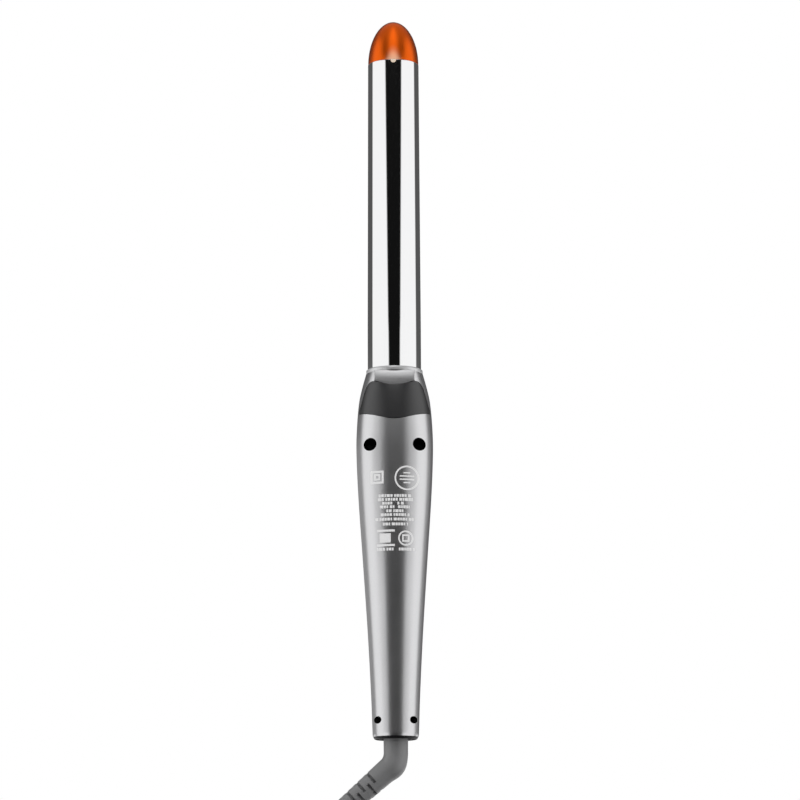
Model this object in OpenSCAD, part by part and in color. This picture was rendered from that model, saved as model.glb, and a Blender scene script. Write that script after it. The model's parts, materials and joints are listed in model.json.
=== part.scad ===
// Curling iron with a spring clamp, a flip-out rest stand and a swivel cord.
// Every module is drawn in millimetres with z = 0 at the tail end of the handle and +Z towards
// the cool tip. The back of the handle faces -Y and the clamp lies on the +Y side. from_tail()
// then moves the whole part so that its origin is at the middle of the hand's grip.

/* [Handle] */
// Length of the handle shells, from the tail end to the neck ring
handle_len = 173; // [172:0.5:174]
// Half of the greatest width of the handle, at its belly
belly_half_w = 18.2; // [18:0.1:18.6]
// Half of the greatest depth of the handle, at its belly
belly_half_d = 15.7; // [15.5:0.1:16]
// Radius of the handle at its tail end
tail_r = 10.8; // [10.6:0.1:11.2]
// Wall thickness of the two handle shells
wall = 1.8; // [1.6:0.1:2]
// Height of the hand's grip above the tail end
grip_z = 80; // [60:1:100]

/* [Barrel] */
// Outer radius of the barrel at its base
barrel_r = 12.7; // [12.6:0.05:12.75]
// Outer radius of the barrel at the cool tip
barrel_tip_r = 12.2; // [12:0.05:12.4]
// Wall thickness of the barrel tube
barrel_wall = 0.8; // [0.6:0.1:1]
// Height of the seam between the barrel and the cool tip
barrel_top_z = 325; // [322:1:328]
// Length of the bullet-shaped cool tip
cap_len = 22.4; // [20:0.1:24]

/* [Clamp] */
// Half of the angle that the blade wraps round the barrel
blade_half_angle = 46; // [40:1:48]
// Thickness of the blade's sheet
blade_t = 0.8; // [0.6:0.1:1]
// Distance of the pivot pin in front of the barrel's axis
pivot_y = 18.4; // [18.4:0.1:18.6]
// Height of the pivot pin above the tail end
pivot_z = 182; // [181.5:0.5:182.5]

/* [Rest stand] */
// Thickness of the stand's plate
stand_t = 2; // [1.8:0.1:2]
// Gap between the stand and its recess
stand_gap = 0.4; // [0.3:0.05:0.45]

/* [Cord] */
// Diameter of the mains cord
cord_d = 6; // [5.6:0.1:6.2]
// Angle between the strain relief and straight down
relief_angle = 48.5; // [45:0.5:50]
// Length of the strain relief past its elbow's corner
relief_len = 45; // [44:0.5:46]

/* [Hidden] */

$fn = 48;
eps = 0.01;

// Handle: each station is its height, half width and half depth.
stations = [
    [0, tail_r, tail_r], [20, tail_r + 0.7, tail_r + 0.5], [50, 13.05, 12.2], [85, 15.35, 13.9],
    [115, 17.35, belly_half_d - 0.7], [137, belly_half_w, belly_half_d], [150, 17.75, 15.75],
    [160, 16.75, 15.5], [167, 15.2, 14.9], [175, 12.95, 12.95]];
tail_ring_z = 1.9;
end_wall_z = 5.4;
cavity_top_z = 146;
mount_bore_r = 10.2;
neck_bore_z = 167.8;
shell_levels = [tail_ring_z, end_wall_z, end_wall_z + 0.1, for (z = [14 : 12 : 134]) z,
    cavity_top_z, cavity_top_z + 0.1, 152, 157, 161, 165, 168, 170.5, handle_len];
shell_sides = 18;

// Screws through the rear shell into bosses of the front shell.
upper_screw = [11.6, 137.5];
upper_well_r = 3;
lower_screw = [8.4, 8.1];
lower_well_r = 1.7;

// Rest stand: heights of its top and bottom edges against the distance from its centre line.
stand_top = [[0, 165.9], [5, 166.5], [9.8, 168.2], [12.6, 166.6], [14, 163.4], [15.4, 158],
    [16.5, 154.2]];
stand_bottom = [[0, 149.4], [2.5, 149.5], [4.5, 149.9], [7.2, 150.9], [10, 151.6], [13, 152.4],
    [16.5, 153.2]];
stand_cols = [16.5, 15.5, 14.4, 12.8, 11.2, 9.8, 7.2, 4.8, 2.4, 0];
stand_rows = 5;
stand_thin = 0.45;
hinge_y = 13.9;
hinge_z = 151.8;
groove_r = 3.2;
groove_half = [4.4, 6.4];
groove_y = [14.9, 14.1];
recess_extra = 0.8;
nose_r = 1.5;
nose_half = 5.2;
lug_r = 1.1;
lug_half = 1.8;
stand_pin_r = 0.7;
// Finger notch above the stand: a flat across the neck, lower than the stand's outer face.
notch_half = 9.6;
notch_y = 13.3;
notch_pad = [[10.5, 164], [notch_y, 164], [notch_y, 169.6], [13.1, 171.6], [12.9, handle_len],
    [10.5, handle_len]];

// Barrel and what is inside it.
barrel_base_z = 169;
taper_z = 195;
barrel_in_r = barrel_r - barrel_wall;
spreader_r = barrel_tip_r - barrel_wall - 0.3;
tab_half = 1.2;
tab_z = 323.5;
heater_z = [200, 310];
heater_t = 2.2;
mica_t = 0.3;

// Swivel at the tail end.
tail_bore_r = 8;
hub_r = 5.8;
running_gap = 0.05;
hub_top_z = 16;
elbow_r = 15;
elbow_tangent = elbow_r * tan(relief_angle / 2);
corner_z = -11.2;
relief_dir = [-sin(relief_angle), 0, -cos(relief_angle)];
relief_r = 5.8;
relief_end_r = 4.4;
relief_lap = 0.3;
relief_end = [0, 0, corner_z] + relief_len * relief_dir;

// Power switch and its board.
board = [16, 1.4, 66];
board_y = 3;
board_z = 62;
board_face_y = board_y + board[1];
knob_z = 102;
knob_travel = 6;
knob = [7.8, 3.3, 11];
knob_base_y = 12.9;
recess_y = 12.6;
led_z = 122;

// Clamp.
pin_r = 1.5;
ear_x = 5.7;
ear_t = 1.2;
saddle_t = 0.9;
saddle_z = [177, 191];
rivet_z = [180, 188];
cheek_x = 4.3;
cheek_t = 1.1;
blade_z = [193.5, 319];
blade_gap = 0.3;
arm_angle = 17;
arm_points = [[19.7, 187], [21.7, 180.8], [27.8, 160.8], [28.8, 161.2], [22.7, 181.2],
    [20.7, 187.2]];
lever_under = [[22.9, 174], [24.6, 169], [28.6, 158], [33.2, 145.5], [36.4, 137]];
lever_t = 3.4;
lever_half_w = 8.4;
lever_screw_r = 1.1;

// Cord: the centre line outside its hank, then the hank, which hangs with its ends rounded.
cord_route = [relief_end - 6 * relief_dir, relief_end, [-40, 0, -47.5], [-44, 0, -53],
    [-47, 0, -59], [-49, 0, -66], [-50, 0, -74], [-50, 0, -85], [-50, 0, -96], [-50, 0, -107],
    [-50, 0, -118], [-50, 0, -126]];
hank_centre = [-32, 6.1];
hank_z = [-266, -116];
hank_half_w = 27.4;
hank_half_t = 9.3;
hank_folds = [hank_z[0] + hank_half_w, hank_z[1] - hank_half_w];
hank_waist = 15.1;
tail_route = [[-20.8, 2, -180], [-18.8, 0.5, -175], [-16.6, -1, -170], [-14.2, -2.5, -165],
    [-11.9, -3.8, -160], [-9.9, -4.9, -155], [-8.5, -5.7, -150], [-7.7, -6.1, -143.4],
    [-8.3, -6.2, -138.7], [-10.1, -6.4, -134.3], [-13, -6.8, -130.5], [-16.7, -7.4, -127.6],
    [-21, -8, -125.8], [-25.7, -8.6, -125.2], [-30.4, -9.3, -125.8], [-34.7, -9.9, -127.6],
    [-38.4, -10.5, -130.5], [-41.3, -10.9, -134.3], [-43.1, -11.1, -138.7], [-43.7, -11.2, -143.4],
    [-43.7, -11.2, -150], [-43.7, -11.2, -159], [-43.7, -11.2, -168], [-43.7, -11.2, -177]];
plug_at = [-43.7, -11.2, -172];
plug_len = 40;
plug_pin_r = 2;
plug_shank_r = 1.6;
plug_pin_len = 19;
plug_pin_spacing = 19;
tie_z = -191;
tie_half = 4;
tie_t = 1.2;

// Slope of column c at station i, and the smooth curve through the stations.
function slope(i, c) =
    let (a = max(i - 1, 0), b = min(i + 1, len(stations) - 1))
    (stations[b][c] - stations[a][c]) / (stations[b][0] - stations[a][0]);
function station_below(z) =
    min(len(stations) - 2, max([for (i = [0 : len(stations) - 1]) z >= stations[i][0] ? i : 0]));
function on_curve(z, c) =
    let (i = station_below(z), h = stations[i + 1][0] - stations[i][0],
        t = (z - stations[i][0]) / h)
    (2 * t ^ 3 - 3 * t ^ 2 + 1) * stations[i][c] + (t ^ 3 - 2 * t ^ 2 + t) * h * slope(i, c)
    + (3 * t ^ 2 - 2 * t ^ 3) * stations[i + 1][c] + (t ^ 3 - t ^ 2) * h * slope(i + 1, c);
function half_w(z) = on_curve(z, 1);
function half_d(z) = on_curve(z, 2);
// Depth of the handle's surface at distance x from its centre line.
function surface_y(x, z) = half_d(z) * sqrt(max(0, 1 - (x / half_w(z)) ^ 2));
function barrel_radius(z) =
    z < taper_z ? barrel_r
    : barrel_r - (barrel_r - barrel_tip_r) * (z - taper_z) / (barrel_top_z - taper_z);
function smoothstep(t) = let (u = min(1, max(0, t))) u * u * (3 - 2 * u);
// Half width of the hank's outline between its folds, drawn in at its tie.
function hank_w(z) =
    hank_half_w - hank_waist * (1 - smoothstep(abs(z - tie_z) / (hank_folds[1] - tie_z)));
function span(centre, half) = [centre - half, centre + half];
function knob_room(half) = [knob_z - half, knob_z + knob_travel + half];
function flat(rows) = [for (row = rows) each row];

// Moves the part's origin from the tail end to the middle of the grip.
module from_tail() translate([0, 0, -grip_z]) children();
// Draws a shape whose first half is the +Y side on the -Y side instead.
module at_back() mirror([0, 1, 0]) children();
// Extrudes a (y, z) outline from x = -half to x = half.
module across(half)
    rotate([90, 0, 90]) translate([0, 0, -half]) linear_extrude(2 * half) children();
module both_sides() for (s = [-1, 1]) scale_x(s) children();
module scale_x(s) if (s > 0) children(); else mirror([1, 0, 0]) children();
module rod_x(r, half, y, z)
    translate([0, y, z]) rotate([0, 90, 0]) cylinder(r = r, h = 2 * half, center = true);
module rod_y(r, x, z, y0, y1)
    translate([x, y0, z]) rotate([-90, 0, 0]) cylinder(r = r, h = y1 - y0);
module tube(r_out, r_in, z0, z1)
    translate([0, 0, z0]) difference() {
        cylinder(r = r_out, h = z1 - z0);
        translate([0, 0, -1]) cylinder(r = r_in, h = z1 - z0 + 2);
    }
module block(x, y, z) translate([x[0], y[0], z[0]]) cube([x[1] - x[0], y[1] - y[0], z[1] - z[0]]);

// Closed solid between two grids of points: rows go up and columns go from +X to -X round +Y.
module slab(outer, inner) {
    rows = len(outer) - 1;
    cols = len(outer[0]) - 1;
    w = cols + 1;
    n = (rows + 1) * w;
    polyhedron(points = concat(flat(outer), flat(inner)), faces = concat(
        [for (r = [0 : rows - 1], c = [0 : cols - 1])
            [r * w + c, r * w + w + c, r * w + w + c + 1, r * w + c + 1]],
        [for (r = [0 : rows - 1], c = [0 : cols - 1])
            [n + r * w + c, n + r * w + c + 1, n + r * w + w + c + 1, n + r * w + w + c]],
        [for (c = [0 : cols - 1]) [c, c + 1, n + c + 1, n + c]],
        [for (c = [0 : cols - 1])
            [rows * w + c, n + rows * w + c, n + rows * w + c + 1, rows * w + c + 1]],
        [for (r = [0 : rows - 1]) [n + r * w, n + r * w + w, r * w + w, r * w]],
        [for (r = [0 : rows - 1])
            [r * w + cols, r * w + w + cols, n + r * w + w + cols, n + r * w + cols]]));
}

// Half of an elliptical ring at height z, as one row of a slab.
function arc_row(a, b, z) =
    [for (i = [0 : shell_sides]) let (t = 180 * i / shell_sides) [a * cos(t), b * sin(t), z]];
function cavity(z, outer, neck) =
    z <= end_wall_z ? tail_bore_r - 1 : z <= cavity_top_z ? outer - wall : neck;

// Half of the handle's hollow wall, on the +Y side, and the same half as a solid set in a little.
module wall_half() slab(
    [for (z = shell_levels) arc_row(half_w(z), half_d(z), z)],
    [for (z = shell_levels) arc_row(cavity(z, half_w(z), mount_bore_r - 1),
        cavity(z, half_d(z), mount_bore_r - 1), z)]);
module solid_half() slab(
    [for (z = shell_levels) arc_row(half_w(z) - 0.6, half_d(z) - 0.6, z)],
    [for (z = shell_levels) arc_row(1, eps, z)]);

// Round openings shared by both shells: tail bore, barrel mount and neck.
module shell_bores() {
    translate([0, 0, -1]) cylinder(r = tail_bore_r, h = end_wall_z + 1);
    translate([0, 0, cavity_top_z - 1]) cylinder(r = mount_bore_r, h = 40);
    translate([0, 0, neck_bore_z]) cylinder(r = barrel_r + 0.1, h = 10);
}

// Screw bosses on the +Y side of the middle plane, kept inside the handle's outline.
module bosses(upper_r, lower_r) intersection() {
    solid_half();
    union() both_sides() {
        rod_y(upper_r, upper_screw[0], upper_screw[1], 0, belly_half_d);
        rod_y(lower_r, lower_screw[0], lower_screw[1], 0, tail_r + 1);
    }
}

// Plate of the rest stand, grown sideways, at its edges and in depth for its recess. It is thinner
// by a share of its depth towards its two sides, which clears the recess as it swings.
module stand_plate(grow, above, below, thin = 0) {
    xs = concat(stand_cols, [for (i = [len(stand_cols) - 2 : -1 : 0]) -stand_cols[i]]);
    widest = stand_cols[0];
    zs = [for (x = xs) [lookup(abs(x), stand_bottom) - grow, lookup(abs(x), stand_top) + grow]];
    row_points = function (r, dy, thin) [for (i = [0 : len(xs) - 1])
        let (x = xs[i] * (1 + grow / widest), z = zs[i][0] + (zs[i][1] - zs[i][0]) * r / stand_rows)
        [x, surface_y(x, z) + dy * (1 - thin * (xs[i] / widest) ^ 4), z]];
    slab([for (r = [0 : stand_rows]) row_points(r, above, 0)],
        [for (r = [0 : stand_rows]) row_points(r, -below, thin)]);
}

// Room for the stand's lower edge as it swings, under a thin lip of the shell.
module hinge_groove() for (i = [0, 1]) intersection() {
    rod_x(groove_r, groove_half[i], hinge_y, hinge_z);
    block([-20, 20], [0, groove_y[i]], [hinge_z - 10, hinge_z + 10]);
}

module rear_shell() color("silver") at_back() difference() {
    union() {
        difference() {
            union() {
                difference() {
                    wall_half();
                    block([-notch_half, notch_half], [notch_y, 20], [165.5, handle_len + 1]);
                }
                bosses(upper_well_r + 1.2, lower_well_r + 0.9);
                across(notch_half) polygon(notch_pad);
            }
            shell_bores();
            stand_plate(stand_gap, 3, stand_t + stand_gap + recess_extra);
            hinge_groove();
        }
        rod_x(lug_r, lug_half, hinge_y, hinge_z);
        block([-lug_half, lug_half], [mount_bore_r + 0.3, hinge_y - lug_r / 2], [150.7, 157]);
    }
    rod_x(stand_pin_r + running_gap, lug_half + 1, hinge_y, hinge_z);
    both_sides() {
        rod_y(upper_well_r, upper_screw[0], upper_screw[1], 4, 20);
        rod_y(1.6, upper_screw[0], upper_screw[1], -1, 5);
        rod_y(lower_well_r, lower_screw[0], lower_screw[1], 3, 15);
        rod_y(0.9, lower_screw[0], lower_screw[1], -1, 4);
    }
}

module front_shell() color("silver") difference() {
    union() {
        wall_half();
        bosses(3.8, 2.2);
        block([-6.4, 6.4], [10.6, recess_y + 0.2], [94, 116]);
    }
    shell_bores();
    both_sides() {
        rod_y(1.4, upper_screw[0], upper_screw[1], -1, 9);
        rod_y(0.9, lower_screw[0], lower_screw[1], -1, 6);
    }
    block(span(0, 4.4), [recess_y, 20], knob_room(knob[2] / 2 + 0.5));
    block(span(0, 2.2), [9, 20], knob_room(2.5));
    rod_y(1.8, 0, led_z, 5, 20);
}

module neck_ring() color("silver") rotate_extrude() polygon([
    [barrel_r + running_gap, handle_len], [13.45, handle_len], [13.45, handle_len + 0.9],
    [13.1, handle_len + 2.2], [barrel_r + running_gap, handle_len + 2.2]]);

// End cap with a rounded edge, and a spigot that fits the bore of the two shells.
module tail_ring() color("dimgray") rotate_extrude() polygon(concat(
    [for (a = [-90 : 15 : 0]) [8.4 + 2 * cos(a), tail_ring_z * (1 + sin(a))]],
    [[tail_bore_r, tail_ring_z], [tail_bore_r, 3.6], [hub_r + running_gap, 3.6],
        [hub_r + running_gap, 0]]));

// Round-headed screw along +Y from the back: head, then shank.
module screw(x, z, head_r, head_y, shank_r, shank_y) at_back() {
    rod_y(head_r, x, z, head_y[0], head_y[1]);
    rod_y(shank_r, x, z, shank_y, head_y[0]);
}
module upper_screws() color("dimgray") both_sides()
    screw(upper_screw[0], upper_screw[1], 2.6, [4, 5.6], 1.4, -8.5);
module lower_screws() color("dimgray") both_sides()
    screw(lower_screw[0], lower_screw[1], 1.5, [3, 4], 0.9, -5.5);

module rest_stand() color([0.25, 0.25, 0.27]) at_back() difference() {
    union() {
        stand_plate(0, 0, stand_t, stand_thin);
        rod_x(nose_r, nose_half, hinge_y, hinge_z);
    }
    rod_x(stand_pin_r, nose_half + 1, hinge_y, hinge_z);
    rod_x(lug_r + 0.35, lug_half + 0.3, hinge_y, hinge_z);
    block([-lug_half - 0.3, lug_half + 0.3], [0, hinge_y + lug_r + 0.35], [148, hinge_z]);
    block([-lug_half - 0.3, lug_half + 0.3], [0, hinge_y - 0.3], [148, 153.2]);
}
module stand_pin() color("silver") rod_x(stand_pin_r, nose_half - 0.2, -hinge_y, hinge_z);

// Small round-ended tab at the back of the cap. The barrel's notch for it is the same, larger.
module cap_tab(half, z0, y) rotate([90, 0, 0]) translate([0, 0, y[0]]) linear_extrude(y[1] - y[0]) {
    translate([0, z0 + half]) circle(r = half);
    translate([-half, z0 + half]) square([2 * half, barrel_top_z + 0.5 - z0 - half]);
}

module barrel_tube() color("gainsboro") difference() {
    rotate_extrude() polygon([[barrel_in_r, barrel_base_z], [barrel_r, barrel_base_z],
        [barrel_r, taper_z], [barrel_tip_r, barrel_top_z],
        [barrel_tip_r - barrel_wall, barrel_top_z], [barrel_in_r, taper_z]]);
    for (z = rivet_z) rod_y(1.2, 0, z, 8, 16);
    cap_tab(tab_half + 0.15, tab_z - 0.15, [8, 16]);
}

module barrel_mount() color("ivory") difference() {
    union() {
        translate([0, 0, 142]) cylinder(r = 12, h = 4);
        translate([0, 0, 142]) cylinder(r = mount_bore_r - 0.3, h = barrel_base_z - 142);
        translate([0, 0, barrel_base_z - 1]) cylinder(r = barrel_r, h = 1);
        translate([0, 0, barrel_base_z]) cylinder(r = barrel_in_r, h = 24);
    }
    translate([0, 0, 140]) cylinder(r = 6, h = 60);
    for (z = rivet_z) rod_y(1.2, 0, z, 4, 16);
}

// Bullet-shaped cap: half an ellipse turned about the axis, hollow, with a tab at the back.
module cool_tip() color("orangered") {
    rotate_extrude() polygon(concat(
        [for (a = [0 : 6 : 90]) [12.1 * cos(a), barrel_top_z + cap_len * sin(a)]],
        [for (a = [90 : -10 : 0]) [10 * cos(a), barrel_top_z + (cap_len - 2.4) * sin(a)]]));
    cap_tab(tab_half, tab_z, [11.45, 11.95]);
}

module tip_insulator() color("wheat") {
    tube(barrel_tip_r - barrel_wall - running_gap, 6, 313, barrel_top_z);
    tube(9.8, 6, barrel_top_z, 328);
}

module heater_element() color("white")
    block([-5, 5], [-heater_t / 2, heater_t / 2], [heater_z[0] + 5, heater_z[1] - 5]);
module mica_sheets() color("khaki") for (s = [0, 1]) mirror([0, s, 0])
    block([-7, 7], [heater_t / 2, heater_t / 2 + mica_t], [heater_z[0] + 2, heater_z[1] - 2]);
module heat_spreader_half() translate([0, 0, heater_z[0]]) intersection() {
    cylinder(r = spreader_r, h = heater_z[1] - heater_z[0]);
    block([-20, 20], [heater_t / 2 + mica_t, 20], [0, 200]);
}
module heat_spreader_front() color("lightgray") heat_spreader_half();
module heat_spreader_rear() color("lightgray") at_back() heat_spreader_half();
module temperature_sensor() color("tan") translate([0, 8, 193]) cylinder(r = 1.2, h = 7);
module thermal_fuse() color("silver") translate([0, 0, 152]) cylinder(r = 2, h = 12);
module heater_leads() color("brown") both_sides() translate([3.4, 0, 128]) cylinder(r = 0.8, h = 77);

module circuit_board() color("darkgreen")
    block([-board[0] / 2, board[0] / 2], [board_y, board_face_y], [board_z, board_z + board[2]]);
module triac() color("black") block([-5, 5], [board_y - 4.5, board_y], [104, 120]);
module capacitor() color("gold") block([-6.5, 6.5], [board_y - 6, board_y], [70, 84]);
module indicator_led() color("red") rod_y(1.5, 0, led_z, board_face_y, 9.4);
module indicator_lens() color("orange") {
    rod_y(1.75, 0, led_z, 11, 15.3);
    rod_y(2.6, 0, led_z, 10, 11);
}
module switch_body() color("black") block([-4, 4], [board_face_y, 9.4], [96, 114]);
module switch_lever() color("white") block([-1, 1], [9.4, 12.3], [knob_z - 1, knob_z + 1]);
module switch_knob() color([0.2, 0.2, 0.22]) difference() {
    union() {
        block([-knob[0] / 2, knob[0] / 2], [knob_base_y, knob_base_y + knob[1]],
            [knob_z - knob[2] / 2, knob_z + knob[2] / 2]);
        block([-1.9, 1.9], [9.8, knob_base_y], [knob_z - 2.2, knob_z + 2.2]);
    }
    block([-1, 1], [9, 12.3], [knob_z - 1, knob_z + 1]);
}

module mains_leads() color("saddlebrown") both_sides()
    translate([4.5, board_face_y + 0.9, 24]) cylinder(r = 0.9, h = board_z + 4 - 24);
module brush_block() color("ivory") tube(9, 3.6, 12, 24);
module brush_contacts() color("gold") both_sides() block([3.05, 3.35], [-1.2, 1.2], [12.5, 20]);
module swivel_hub() color("black") {
    translate([0, 0, 0.5]) cylinder(r = hub_r, h = 3.2);
    translate([0, 0, 3.7]) cylinder(r = 7.2, h = 1.5);
    translate([0, 0, 5.2]) cylinder(r = 2.5, h = hub_top_z + 3 - 5.2);
}
module contact_rings() color("gold") for (z = [12.6, 16.4]) tube(3, 2.5, z, z + 2.4);

// Elbow and taper of the strain relief: a straight neck, a bend and a cone.
module strain_relief() color("dimgray") {
    neck_z = corner_z + elbow_tangent;
    cone_from = elbow_tangent - relief_lap;
    translate([0, 0, neck_z - relief_lap]) cylinder(r = relief_r, h = 0.5 + relief_lap - neck_z);
    translate([-elbow_r, 0, neck_z]) rotate([90, 0, 0]) rotate([0, 0, -relief_angle])
        rotate_extrude(angle = relief_angle) translate([elbow_r, 0]) circle(r = relief_r - 0.1);
    translate([0, 0, corner_z] + cone_from * relief_dir) rotate([0, 180 + relief_angle, 0])
        cylinder(r1 = relief_r - 0.2, r2 = relief_end_r, h = relief_len - cone_from);
}

// Outline of an ear or cheek: a round eye about the pivot on a straight root.
module eye_outline(r) translate([pivot_y, pivot_z]) circle(r = r);
module clamp_bracket() color("lightgray") difference() {
    union() {
        rotate([0, 0, 60]) rotate_extrude(angle = 60)
            translate([barrel_r, saddle_z[0]]) square([saddle_t, saddle_z[1] - saddle_z[0]]);
        both_sides() translate([ear_x + ear_t / 2, 0, 0]) across(ear_t / 2) {
            eye_outline(3);
            translate([8, pivot_z - 3]) square([pivot_y - 8, 6]);
        }
    }
    translate([0, 0, 170]) cylinder(r = barrel_r, h = 30);
    rod_x(pin_r, 20, pivot_y, pivot_z);
    for (z = rivet_z) rod_y(1.2, 0, z, 8, 16);
}
module bracket_rivets() color("silver") for (z = rivet_z) {
    rod_y(1.2, 0, z, 11, barrel_r + saddle_t);
    rod_y(1.9, 0, z, barrel_r + saddle_t, barrel_r + saddle_t + 0.6);
}
module clamp_pivot_pin() color("silver") {
    rod_x(pin_r, ear_x + ear_t + 0.6, pivot_y, pivot_z);
    both_sides() translate([ear_x + ear_t + 0.3, 0, 0]) rod_x(2.2, 0.3, pivot_y, pivot_z);
}

// Swept tube of radius r along a path, with its rings carried along without twist.
function unit(v) = v / norm(v);
function tangent(path, i) = unit(path[min(i + 1, len(path) - 1)] - path[max(i - 1, 0)]);
function carried(n, t) = unit(n - (n * t) * t);
module sweep(path, r, sides, first_normal) {
    last = len(path) - 1;
    normals = [for (i = 0, n = carried(first_normal, tangent(path, 0)); i <= last;
        i = i + 1, n = carried(n, tangent(path, min(i, last)))) n];
    rings = [for (i = [0 : last]) let (n = normals[i], b = cross(tangent(path, i), n))
        [for (k = [0 : sides - 1]) let (a = 360 * k / sides)
            path[i] + r * (cos(a) * n + sin(a) * b)]];
    polyhedron(points = flat(rings), faces = concat(
        [[for (k = [0 : sides - 1]) k]],
        [for (i = [0 : last - 1], k = [0 : sides - 1]) let (j = (k + 1) % sides)
            [i * sides + k, (i + 1) * sides + k, (i + 1) * sides + j, i * sides + j]],
        [[for (k = [sides - 1 : -1 : 0]) last * sides + k]]));
}

// Torsion spring round the pivot pin, between the blade's cheeks.
spring_turns = 5;
spring_r = 2.2;
module clamp_spring() color("silver") sweep(
    [for (i = [0 : 12 * spring_turns]) let (a = 30 * i)
        [-3.4 + 6.8 * i / (12 * spring_turns), pivot_y + spring_r * cos(a), pivot_z + spring_r * sin(a)]],
    0.4, 6, [0, 1, 0]);

module arm_solid() across(cheek_x) polygon(arm_points);
module clamp_blade() color("gainsboro") difference() {
    union() {
        rotate([0, 0, 90 - blade_half_angle]) rotate_extrude(angle = 2 * blade_half_angle)
            polygon([for (k = [0, 1], j = [0, 1]) let (z = blade_z[k], i = k == 0 ? j : 1 - j)
                [barrel_radius(z) + blade_gap + blade_t * i, z]]);
        both_sides() translate([cheek_x + cheek_t / 2, 0, 0]) across(cheek_t / 2) {
            eye_outline(2.6);
            polygon([[16.4, 183], [20.6, 180.8], [20.2, 187], [15.6, 206], [12.6, 206],
                [12.6, 193.5], [14.6, 191.8]]);
        }
        across(cheek_x + eps) polygon([[19.4, 187], [20.2, 187], [15.6, 206], [14.8, 206]]);
        arm_solid();
    }
    rod_x(pin_r + running_gap, 10, pivot_y, pivot_z);
    lever_screw_places() translate([0, 0, -3]) cylinder(r = lever_screw_r, h = 5);
}

// Thumb lever: a curved side profile cut by a rounded plan outline.
module clamp_lever() color([0.2, 0.2, 0.22]) difference() {
    intersection() {
        across(lever_half_w) polygon(concat(lever_under,
            [for (i = [len(lever_under) - 1 : -1 : 0])
                lever_under[i] + lever_t * [cos(arm_angle), sin(arm_angle)]]));
        rotate([-90, 0, 0]) mirror([0, 1, 0]) linear_extrude(60) {
            translate([0, 145]) circle(r = lever_half_w);
            translate([-lever_half_w, 145]) square([2 * lever_half_w, 12]);
            polygon([[-lever_half_w, 157], [lever_half_w, 157], [5.6, 176], [-5.6, 176]]);
        }
    }
    arm_solid();
    lever_screw_places() translate([0, 0, -3]) cylinder(r = lever_screw_r, h = 5);
}
// Places along the arm where a screw goes in, square to the arm from below.
module lever_screw_places() for (d = [6, 13])
    translate([0, 28.3 - d * sin(arm_angle), 161 + d * cos(arm_angle)])
        rotate([arm_angle - 90, 0, 0]) children();
module lever_screws() color("silver") lever_screw_places() {
    translate([0, 0, -2.4]) cylinder(r = lever_screw_r, h = 4);
    translate([0, 0, -3.4]) cylinder(r = 2, h = 1);
}

module cord_tube() color("dimgray") sweep(cord_route, cord_d / 2, 10, [0, 1, 0]);

module cord_hank() color("dimgray") translate([hank_centre[0], hank_centre[1] + hank_half_t, 0])
    rotate([90, 0, 0]) linear_extrude(2 * hank_half_t) polygon(concat(
        [for (a = [180 : 15 : 360]) [0, hank_folds[0]] + hank_half_w * [cos(a), sin(a)]],
        [for (i = [1 : 11]) let (z = hank_folds[0] + i * (hank_folds[1] - hank_folds[0]) / 12)
            [hank_w(z), z]],
        [for (a = [0 : 15 : 180]) [0, hank_folds[1]] + hank_half_w * [cos(a), sin(a)]],
        [for (i = [11 : -1 : 1]) let (z = hank_folds[0] + i * (hank_folds[1] - hank_folds[0]) / 12)
            [-hank_w(z), z]]));
module hank_tie() color("black") {
    half_w = hank_w(tie_z + tie_half) + 0.3;
    difference() {
        block(span(hank_centre[0], half_w + tie_t), span(hank_centre[1], hank_half_t + tie_t),
            span(tie_z, tie_half));
        block(span(hank_centre[0], half_w), span(hank_centre[1], hank_half_t),
            span(tie_z, tie_half + 1));
    }
}
module cord_tail() color("dimgray") sweep(tail_route, cord_d / 2, 10, [0, 1, 0]);

// Flat two-pin plug that points straight down.
module at_plug() translate([plug_at[0], plug_at[1], plug_at[2] - plug_len]) children();
module plug_body() color("dimgray") at_plug() difference() {
    union() {
        linear_extrude(22) {
            both_sides() translate([plug_pin_spacing / 2, 0]) circle(r = 6.4);
            square([plug_pin_spacing, 12.8], center = true);
        }
        translate([0, 0, 22]) cylinder(r1 = 6.4, r2 = 4.2, h = plug_len - 22);
    }
    both_sides() translate([plug_pin_spacing / 2, 0, -1]) cylinder(r = plug_shank_r, h = 9);
    translate([0, 0, plug_len - 5]) cylinder(r = cord_d / 2 + running_gap, h = 6);
}
module plug_pins() color("silver") at_plug() both_sides()
    translate([plug_pin_spacing / 2, 0, -plug_pin_len]) {
        cylinder(r = plug_pin_r, h = plug_pin_len);
        cylinder(r = plug_shank_r, h = plug_pin_len + 8);
    }

from_tail() rear_shell();
from_tail() front_shell();
from_tail() neck_ring();
from_tail() tail_ring();
from_tail() upper_screws();
from_tail() lower_screws();
from_tail() rest_stand();
from_tail() stand_pin();
from_tail() barrel_tube();
from_tail() barrel_mount();
from_tail() cool_tip();
from_tail() tip_insulator();
from_tail() heater_element();
from_tail() heat_spreader_front();
from_tail() heat_spreader_rear();
from_tail() mica_sheets();
from_tail() temperature_sensor();
from_tail() thermal_fuse();
from_tail() heater_leads();
from_tail() circuit_board();
from_tail() triac();
from_tail() capacitor();
from_tail() indicator_led();
from_tail() indicator_lens();
from_tail() switch_body();
from_tail() switch_lever();
from_tail() switch_knob();
from_tail() mains_leads();
from_tail() brush_block();
from_tail() brush_contacts();
from_tail() swivel_hub();
from_tail() contact_rings();
from_tail() strain_relief();
from_tail() clamp_bracket();
from_tail() bracket_rivets();
from_tail() clamp_pivot_pin();
from_tail() clamp_spring();
from_tail() clamp_blade();
from_tail() clamp_lever();
from_tail() lever_screws();
from_tail() cord_tube();
from_tail() cord_hank();
from_tail() hank_tie();
from_tail() cord_tail();
from_tail() plug_body();
from_tail() plug_pins();
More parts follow.
